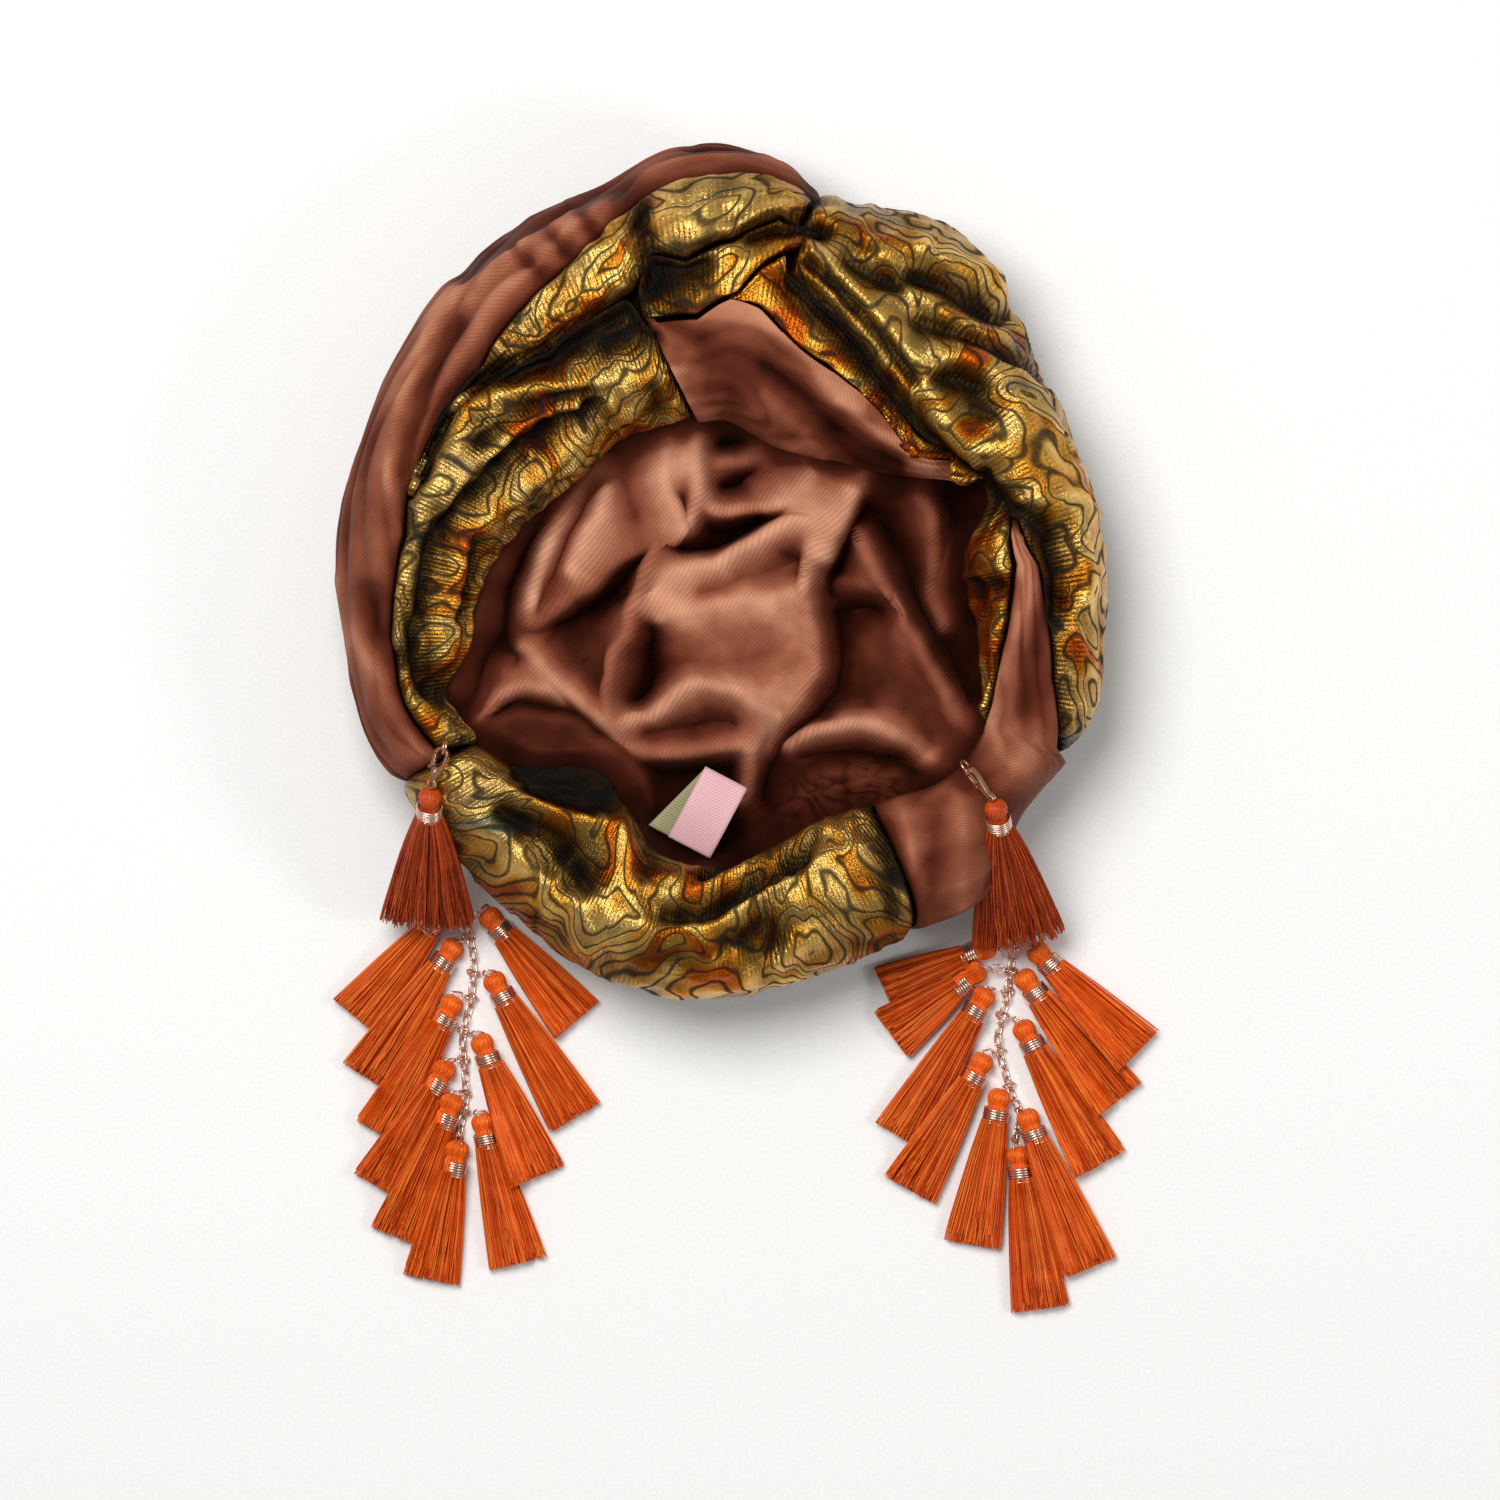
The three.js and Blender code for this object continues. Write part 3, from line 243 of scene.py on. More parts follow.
def add_node(tree, kind, sockets=None, **settings):
    """Adds a node. Sockets maps an input to a value or to another node's output."""
    node = tree.nodes.new(kind)
    for name, value in settings.items():
        setattr(node, name, value)
    for key, value in (sockets or {}).items():
        if isinstance(value, bpy.types.NodeSocket):
            tree.links.new(value, node.inputs[key])
        else:
            node.inputs[key].default_value = value
    return node


def maths_of(tree):
    """A function that works out up to three values with a maths node of a tree."""
    def maths(operation, a, b=0.0, c=0.0):
        return add_node(tree, "ShaderNodeMath", {0: a, 1: b, 2: c}, operation=operation).outputs[0]

    return maths


def bare_material(name):
    """A new material, with its tree and its principled shader."""
    material = bpy.data.materials.new(name)
    material.use_nodes = True
    tree = material.node_tree
    return material, tree, tree.nodes["Principled BSDF"]


def ramp(tree, factor, stops):
    """Colour between stops of place and hex colour."""
    node = add_node(tree, "ShaderNodeValToRGB", {0: factor})
    band = node.color_ramp.elements
    while len(band) < len(stops):
        band.new(0.5)
    for element, (place, colour) in zip(band, stops):
        element.position = place
        element.color = linear(colour)
    return node.outputs[0]


# A wave texture repeats every 2 pi / 20 of its scaled coordinate.
WAVE_PERIOD = 2 * math.pi / 20
print("a mid grey is", round(linear("#808080")[0], 2), "in linear light")

# %% [markdown]
# Velvet is a woven ground with a dense cut pile. The pile drinks in light that falls along it and
# glows where it is seen from the side, so a fold has a pale back and almost black flanks. That light
# is painted into the colour: the tone of each place gives painted shade in hollows and a painted
# highlight on ridges. This velvet has a fine rib across the cloth, drawn a little coarser than it is
# so that it shows.

# %% Crushed rib velvet
RIB_SPACING = 1.0
CRUSH_SIZE = 14.0
PILE_SHEEN = 0.05


def crushed_rib_velvet(name, tones, glow):
    material, tree, shader = bare_material(name)
    maths = maths_of(tree)
    cloth = add_node(tree, "ShaderNodeUVMap", uv_map="cloth").outputs[0]
    tone = add_node(tree, "ShaderNodeAttribute", attribute_name="ridge").outputs["Fac"]
    crush = add_node(tree, "ShaderNodeTexNoise",
                     {"Vector": cloth, "Scale": 1 / CRUSH_SIZE, "Detail": 3.0, "Roughness": 0.5})
    turned = add_node(tree, "ShaderNodeMapping",
                      {"Vector": cloth, "Rotation": (0, 0, math.radians(38))}).outputs[0]
    rib = add_node(tree, "ShaderNodeTexWave",
                   {"Vector": turned, "Scale": WAVE_PERIOD / RIB_SPACING, "Distortion": 0.4,
                    "Detail": 1.0, "Detail Scale": 0.3}).outputs["Fac"]
    # Painted shade in hollows and painted highlight on ridges, from the tone, plus random crush
    # mottling.
    painted_tone_and_crush = maths("ADD", tone, maths("MULTIPLY", maths("SUBTRACT", crush.outputs[0], 0.5), 0.42))
    lined = maths("MULTIPLY", maths("SUBTRACT", rib, 0.5), maths("MULTIPLY", painted_tone_and_crush, 0.08))
    colour = ramp(tree, maths("ADD", painted_tone_and_crush, lined), tones)
    pile = add_node(tree, "ShaderNodeTexNoise", {"Vector": cloth, "Scale": 1.6, "Detail": 2.0})
    height = maths("ADD", maths("MULTIPLY", rib, 0.7), maths("MULTIPLY", pile.outputs[0], 0.4))
    bump = add_node(tree, "ShaderNodeBump",
                    {"Strength": 0.32, "Distance": 0.2 * MM, "Height": height}).outputs[0]
    tree.links.new(colour, shader.inputs["Base Color"])
    tree.links.new(bump, shader.inputs["Normal"])
    shader.inputs["Roughness"].default_value = 0.58
    shader.inputs["Specular IOR Level"].default_value = 0.16
    shader.inputs["Specular Tint"].default_value = linear("#e08a60")
    shader.inputs["Sheen Weight"].default_value = PILE_SHEEN
    shader.inputs["Sheen Roughness"].default_value = 0.35
    shader.inputs["Sheen Tint"].default_value = linear(glow)
    return material


# The tones run from painted shade in the hollows to a painted highlight on the ridges.
velvet = crushed_rib_velvet("crushed_rib_velvet", [
    (0.0, "#0e0403"), (0.22, "#35140c"), (0.48, "#5e2b1d"), (0.72, "#8c503a"), (1.0, "#cc8c6c")],
    "#d8906c")
lining_velvet = crushed_rib_velvet("lining_velvet", [
    (0.0, "#0a0302"), (0.22, "#34130b"), (0.48, "#632e20"), (0.72, "#9a5b44"), (1.0, "#dca080")],
    "#dc9c7c")
print("velvets:", velvet.name, lining_velvet.name)

# %% [markdown]
# The brocade is a black ground with a flat metal thread floated over it in nested arcs. Where the
# thread floats it is a metal, crinkled into hundreds of small mirrors; where it dives the ground is
# a plain black cloth. The arcs are the contour lines of a soft hilly field, as growth rings are, and
# a dark line parts each from the next. The colour drifts between gold, copper and a sage green. The
# relief's tone paints shade too: in hollows it hides the thread behind black ground and darkens the
# gold, and on ridges it shows the thread and lights it up.

# %% Metal thread brocade
ARC_CELL = 34.0
ARC_COUNT = 7.5
ARC_DARK = 0.12
BROCADE_RIB = 1.35
GLINT_SIZE = 1.3
DRIFT_SIZE = 30.0


def metal_thread_brocade(name, copper_share):
    material, tree, shader = bare_material(name)
    maths = maths_of(tree)
    cloth = add_node(tree, "ShaderNodeUVMap", uv_map="cloth").outputs[0]
    ridge = add_node(tree, "ShaderNodeAttribute", attribute_name="ridge").outputs["Fac"]
    hills = add_node(tree, "ShaderNodeTexNoise",
                     {"Vector": cloth, "Scale": 1.25 / ARC_CELL, "Detail": 1.0, "Roughness": 0.4,
                      "Distortion": 0.5}).outputs[0]
    cells = add_node(tree, "ShaderNodeTexVoronoi", {"Vector": cloth, "Scale": 1 / ARC_CELL},
                     voronoi_dimensions="2D")
    rings = maths("ADD", maths("MULTIPLY", cells.outputs["Distance"], 0.7),
                  maths("MULTIPLY", hills, 1.5))
    phase = maths("MULTIPLY", rings, 2 * math.pi * ARC_COUNT)
    arcs = maths("SINE", phase)
    ribs = add_node(tree, "ShaderNodeTexWave",
                    {"Vector": cloth, "Scale": WAVE_PERIOD / BROCADE_RIB, "Distortion": 0.8,
                     "Detail": 1.0, "Detail Scale": 0.3}).outputs["Fac"]
    glint = add_node(tree, "ShaderNodeTexNoise",
                     {"Vector": cloth, "Scale": 1 / GLINT_SIZE, "Detail": 3.0,
                      "Roughness": 0.75}).outputs[0]
    worn = maths("MULTIPLY", maths("SUBTRACT", glint, 0.5), 2.2)
    # Painted shade: a low tone in hollows hides the metal thread behind black ground.
    floated_and_painted_shade = maths("ADD", worn, maths("MULTIPLY", maths("SUBTRACT", ridge, 0.26), 2.2))
    floated_and_painted_shade = maths("ADD", floated_and_painted_shade, maths("MULTIPLY", maths("SUBTRACT", ribs, 0.5), 0.5))
    shown = add_node(tree, "ShaderNodeMapRange",
                     {"Value": floated_and_painted_shade, "From Min": -0.75, "From Max": 0.25}).outputs[0]
    line = add_node(tree, "ShaderNodeMapRange",
                    {"Value": maths("ADD", arcs, maths("MULTIPLY", worn, 0.35)),
                     "From Min": -0.95, "From Max": -0.35, "To Min": ARC_DARK}).outputs[0]
    metal = maths("MULTIPLY", shown, line)
    drift = add_node(tree, "ShaderNodeTexNoise",
                     {"Vector": cloth, "Scale": 1 / DRIFT_SIZE, "Detail": 2.0}).outputs[0]
    each_arc = maths("MULTIPLY", maths("SINE", maths("MULTIPLY", phase, 0.37)), 0.09)
    tone = maths("ADD", maths("ADD", drift, each_arc), 0.5 - copper_share)
    gold = ramp(tree, tone, [(0.32, "#c05a12"), (0.42, "#d0902e"), (0.56, "#ecc068"),
                             (0.68, "#c49c58"), (0.82, "#8c8c6e")])
    # Painted shade and highlight: the gold is darkened to near black in hollows and lit on ridges.
    shade = ramp(tree, ridge, [(0.0, "#0c0a08"), (0.35, "#6b6358"), (0.7, "#d2ccc2"),
                               (0.9, "#ffffff")])
    lit = add_node(tree, "ShaderNodeMix", {0: 1.0, 6: gold, 7: shade}, data_type="RGBA",
                   blend_type="MULTIPLY").outputs[2]
    colour = add_node(tree, "ShaderNodeMix", {0: metal, 6: linear("#0a0806"), 7: lit},
                      data_type="RGBA").outputs[2]
    height = maths("ADD", maths("MULTIPLY", metal, 0.4), maths("MULTIPLY", ribs, 0.45))
    height = maths("ADD", height, maths("MULTIPLY", glint, 1.5))
    bump = add_node(tree, "ShaderNodeBump",
                    {"Strength": 0.8, "Distance": 0.4 * MM, "Height": height}).outputs[0]
    roughness = add_node(tree, "ShaderNodeMapRange",
                         {"Value": metal, "To Min": 0.7, "To Max": 0.25}).outputs[0]
    tree.links.new(colour, shader.inputs["Base Color"])
    tree.links.new(maths("MULTIPLY", metal, 0.92), shader.inputs["Metallic"])
    shader.inputs["Specular IOR Level"].default_value = 0.12
    tree.links.new(roughness, shader.inputs["Roughness"])
    tree.links.new(bump, shader.inputs["Normal"])
    return material


gold_brocade = metal_thread_brocade("gold_thread_brocade", 0.5)
copper_brocade = metal_thread_brocade("copper_thread_brocade", 0.62)
print("brocades:", gold_brocade.name, copper_brocade.name)

# %% [markdown]
# The borders between the wraps are short tables of angle and share of the width that shows. Two
# wraps read the same border, so that they meet in one valley.

# %% Borders between the wraps
AT, SHARE = range(2)
HEM_EDGE = [[-360, 0], [720, 0]]
UNDER_EDGE = [[-360, 1.5], [720, 1.5]]
VELVET_INNER = [[75, 0.98], [82, 0.95], [90, 0.89], [100, 0.90], [106, 0.83], [112, 0.76],
                [120, 0.71], [132, 0.68], [143, 0.70], [155, 0.67], [162, 0.60], [170, 0.61],
                [180, 0.67], [189, 0.58], [197, 0.46], [202, 0.42]]
ROLL_HEM = [[74, 0.88], [82, 0.82], [88, 0.66], [95, 0.59], [100, 0.67], [104, 0.55], [112, 0.52],
            [121, 0.48], [130, 0.58], [138, 0.66], [146, 0.65], [156, 0.64]]
LOOP_INNER = [[74, 0.84], [80, 0.71], [83, 0.62], [87, 0.46], [94, 0.37], [101, 0.41], [106, 0.46]]
FLAP_OUTER = [[31, 0.08], [37, 0.13], [48, 0.22], [63, 0.30], [74, 0.38], [83, 0.45], [88, 0.44],
              [94, 0.36], [101, 0.40], [104, 0.46]]
STRIP_OUTER = [[-60, 0], [-24, 0], [-20, 0.06], [-18, 0.08], [-10, 0.12], [-2, 0.20], [8, 0.33],
               [14, 0.40], [21, 0.35], [27, 0.20], [31, 0.12], [39, 0.22], [51, 0.30], [60, 0.37],
               [71, 0.55], [81, 0.67]]
BAND_OUTER = [[-60, 1.5], [-24, 1.5], [-20, 1.05], [-18, 0.86], [-12, 0.72], [-7, 0.63],
              [4, 0.58], [13, 0.57], [22, 0.38]]
print(len(STRIP_OUTER), "rows say where the inner brocade ends on the right")

# %% [markdown]
# Each wrap is one strip of cloth. Its pleats run along it: how many lie side by side, how much they
# slant across it in 100 mm, and how high they stand. Its crinkles run across it: how far apart they
# are and how high. Lean tips the folds over, as a roll of soft cloth does under its own weight.

# %% The wraps
WRAPS = [
    dict(node="side_velvet_wrap", cloth=velvet, ends=((77, 77), (203.5, 206)),
         inner=[(999, VELVET_INNER)], outer=[(999, UNDER_EDGE)],
         pleats=(9, 0.5, 2.6), crinkle=(46, 0.5), lean=-0.25),
    dict(node="front_brocade_wrap", cloth=gold_brocade, ends=((79, 77.5), (155, 155)),
         inner=[(999, ROLL_HEM)], outer=[(999, VELVET_INNER)],
         pleats=(3, 1.1, 1.6), crinkle=(13, 1.5), lean=-0.3),
    dict(node="inner_brocade_wrap", cloth=gold_brocade, ends=((96.5, 105.5), (203.5, 202)),
         inner=[(999, HEM_EDGE)], outer=[(156, ROLL_HEM), (999, VELVET_INNER)],
         pleats=(4, 2.4, 1.8), crinkle=(19, 1.2), lean=-0.35),
    dict(node="front_loop", cloth=copper_brocade, ends=((78.5, 76), (103.5, 103)),
         inner=[(999, LOOP_INNER)], outer=[(999, ROLL_HEM)],
         pleats=(2, 1.5, 1.0), crinkle=(11, 1.1), lean=-0.3),
    dict(node="right_brocade_wrap", cloth=gold_brocade, ends=((-16, -21.5), (79, 75.5)),
         inner=[(22, BAND_OUTER), (999, STRIP_OUTER)], outer=[(999, UNDER_EDGE)],
         pleats=(7, 1.2, 1.5), crinkle=(16, 1.4), lean=-0.3),
    dict(node="right_inner_brocade", cloth=copper_brocade, ends=((-16.5, -17.5), (88, 88)),
         inner=[(31, HEM_EDGE), (999, FLAP_OUTER)], outer=[(80, STRIP_OUTER), (999, LOOP_INNER)],
         pleats=(2, 0.8, 0.9), crinkle=(12, 0.9), lean=-0.2),
    dict(node="right_velvet_band", cloth=velvet, ends=((-47, -61), (22, 21)),
         inner=[(999, STRIP_OUTER)], outer=[(999, BAND_OUTER)],
         pleats=(3, 0.4, 0.7), crinkle=(40, 0.7), lean=0.0),
    dict(node="back_brocade_band", cloth=gold_brocade, ends=((203, 204.5), (312.5, 298.5)),
         inner=[(999, HEM_EDGE)], outer=[(999, UNDER_EDGE)],
         pleats=(7, 1.0, 1.5), crinkle=(21, 1.3), lean=-0.3),
    dict(node="front_velvet_flap", cloth=velvet, ends=((31.5, 31.5), (95.5, 103)),
         inner=[(999, HEM_EDGE)], outer=[(999, FLAP_OUTER)], loose=True,
         pleats=(2, 0.6, 0.9), crinkle=(30, 0.8), lean=0.0),
]
print(len(WRAPS), "wraps")

# %% [markdown]
# Cloth that is pushed together hangs from its ridges and dips in its hollows, and between them it
# spans slack and smooth. So a piece of relief is a short table of lines, each with a name, a height
# and a tone. Tone is painted light and shade: how light the cloth looks there, from 0, painted shade
# in a hollow, to 1, a painted highlight on a ridge. It darkens or lightens the velvet, and in the
# brocade it also hides the metal thread in hollows and shows it on ridges. A grid of values is held
# at the lines and averaged everywhere else until it settles, as a stretched skin does. That is done
# on a coarse grid first and on finer ones after, so that it takes little time.

# %% Relief that spans between lines
TONE, LEAN, PLACES = range(1, 4)
FIELD_LEVELS = [(32, 200), (64, 160), (128, 120), (256, 90), (448, 50)]
HIGH_VALUE, TONE_VALUE, PULL_X, PULL_Y = range(4)


def dense_line(line):
    """Places along a line, with its height, its tone and the sideways pull of its lean."""
    places = []
    rows = np.array(line[PLACES], float)
    for a, b in zip(rows[:-1], rows[1:]):
        ahead = (b - a)[:2] / np.linalg.norm((b - a)[:2])
        for part in np.linspace(0, 1, 60):
            places.append([*(a + (b - a) * part), line[TONE], -ahead[1] * line[LEAN],
                           ahead[0] * line[LEAN]])
    return places


def relax(field, held, rounds):
    """Averages a grid with its neighbours, apart from the held cells."""
    kept = field[held]
    for _ in range(rounds):
        edge = np.pad(field, ((1, 1), (1, 1), (0, 0)), mode="edge")
        field = (edge[:-2, 1:-1] + edge[2:, 1:-1] + edge[1:-1, :-2] + edge[1:-1, 2:]) / 4
        field[held] = kept
    return field


def sample_field(field, size, x, y):
    """Values of a grid that reaches size millimetres from the middle, at places."""
    cells = len(field)
    u = np.clip((x / size + 1) / 2 * (cells - 1), 0, cells - 1.001)
    v = np.clip((y / size + 1) / 2 * (cells - 1), 0, cells - 1.001)
    i, j = u.astype(int), v.astype(int)
    fu, fv = (u - i)[..., None], (v - j)[..., None]
    low = field[i, j] * (1 - fu) + field[i + 1, j] * fu
    high = field[i, j + 1] * (1 - fu) + field[i + 1, j + 1] * fu
    return low * (1 - fv) + high * fv


def spanned_field(lines, size, ground, fixed, soften):
    """The settled grid of some lines. Ground holds wherever fixed(x, y) says so."""
    spots = np.array([place for line in lines for place in dense_line(line)])
    field = np.tile(np.array(ground, float), (2, 2, 1))
    for cells, rounds in FIELD_LEVELS:
        line = np.linspace(-size, size, cells)
        x, y = np.meshgrid(line, line, indexing="ij")
        field = sample_field(field, size, x, y)
        cell = np.rint((spots[:, :2] / size + 1) / 2 * (cells - 1)).astype(int)
        total, count = np.zeros((cells, cells, 4)), np.zeros((cells, cells, 1))
        np.add.at(total, (cell[:, 0], cell[:, 1]), spots[:, 2:])
        np.add.at(count, (cell[:, 0], cell[:, 1]), 1)
        held = count[..., 0] > 0
        still = fixed(x, y) & ~held
        field[held] = total[held] / count[held]
        field[still] = ground
        field = relax(field, held | still, rounds)
    return relax(field, np.zeros(field.shape[:2], bool), soften)


print("relief settles on grids of", [cells for cells, _ in FIELD_LEVELS], "cells a side")

# %% [markdown]
# These are the folds of the ring as they are seen from above: rolls, pinches, swirls and black
# hollows, clockwise from the top. Places are in millimetres from the middle of the opening, and
# heights are above or below the smooth ring. Tones paint shade into the hollows and highlights
# onto the rolls.

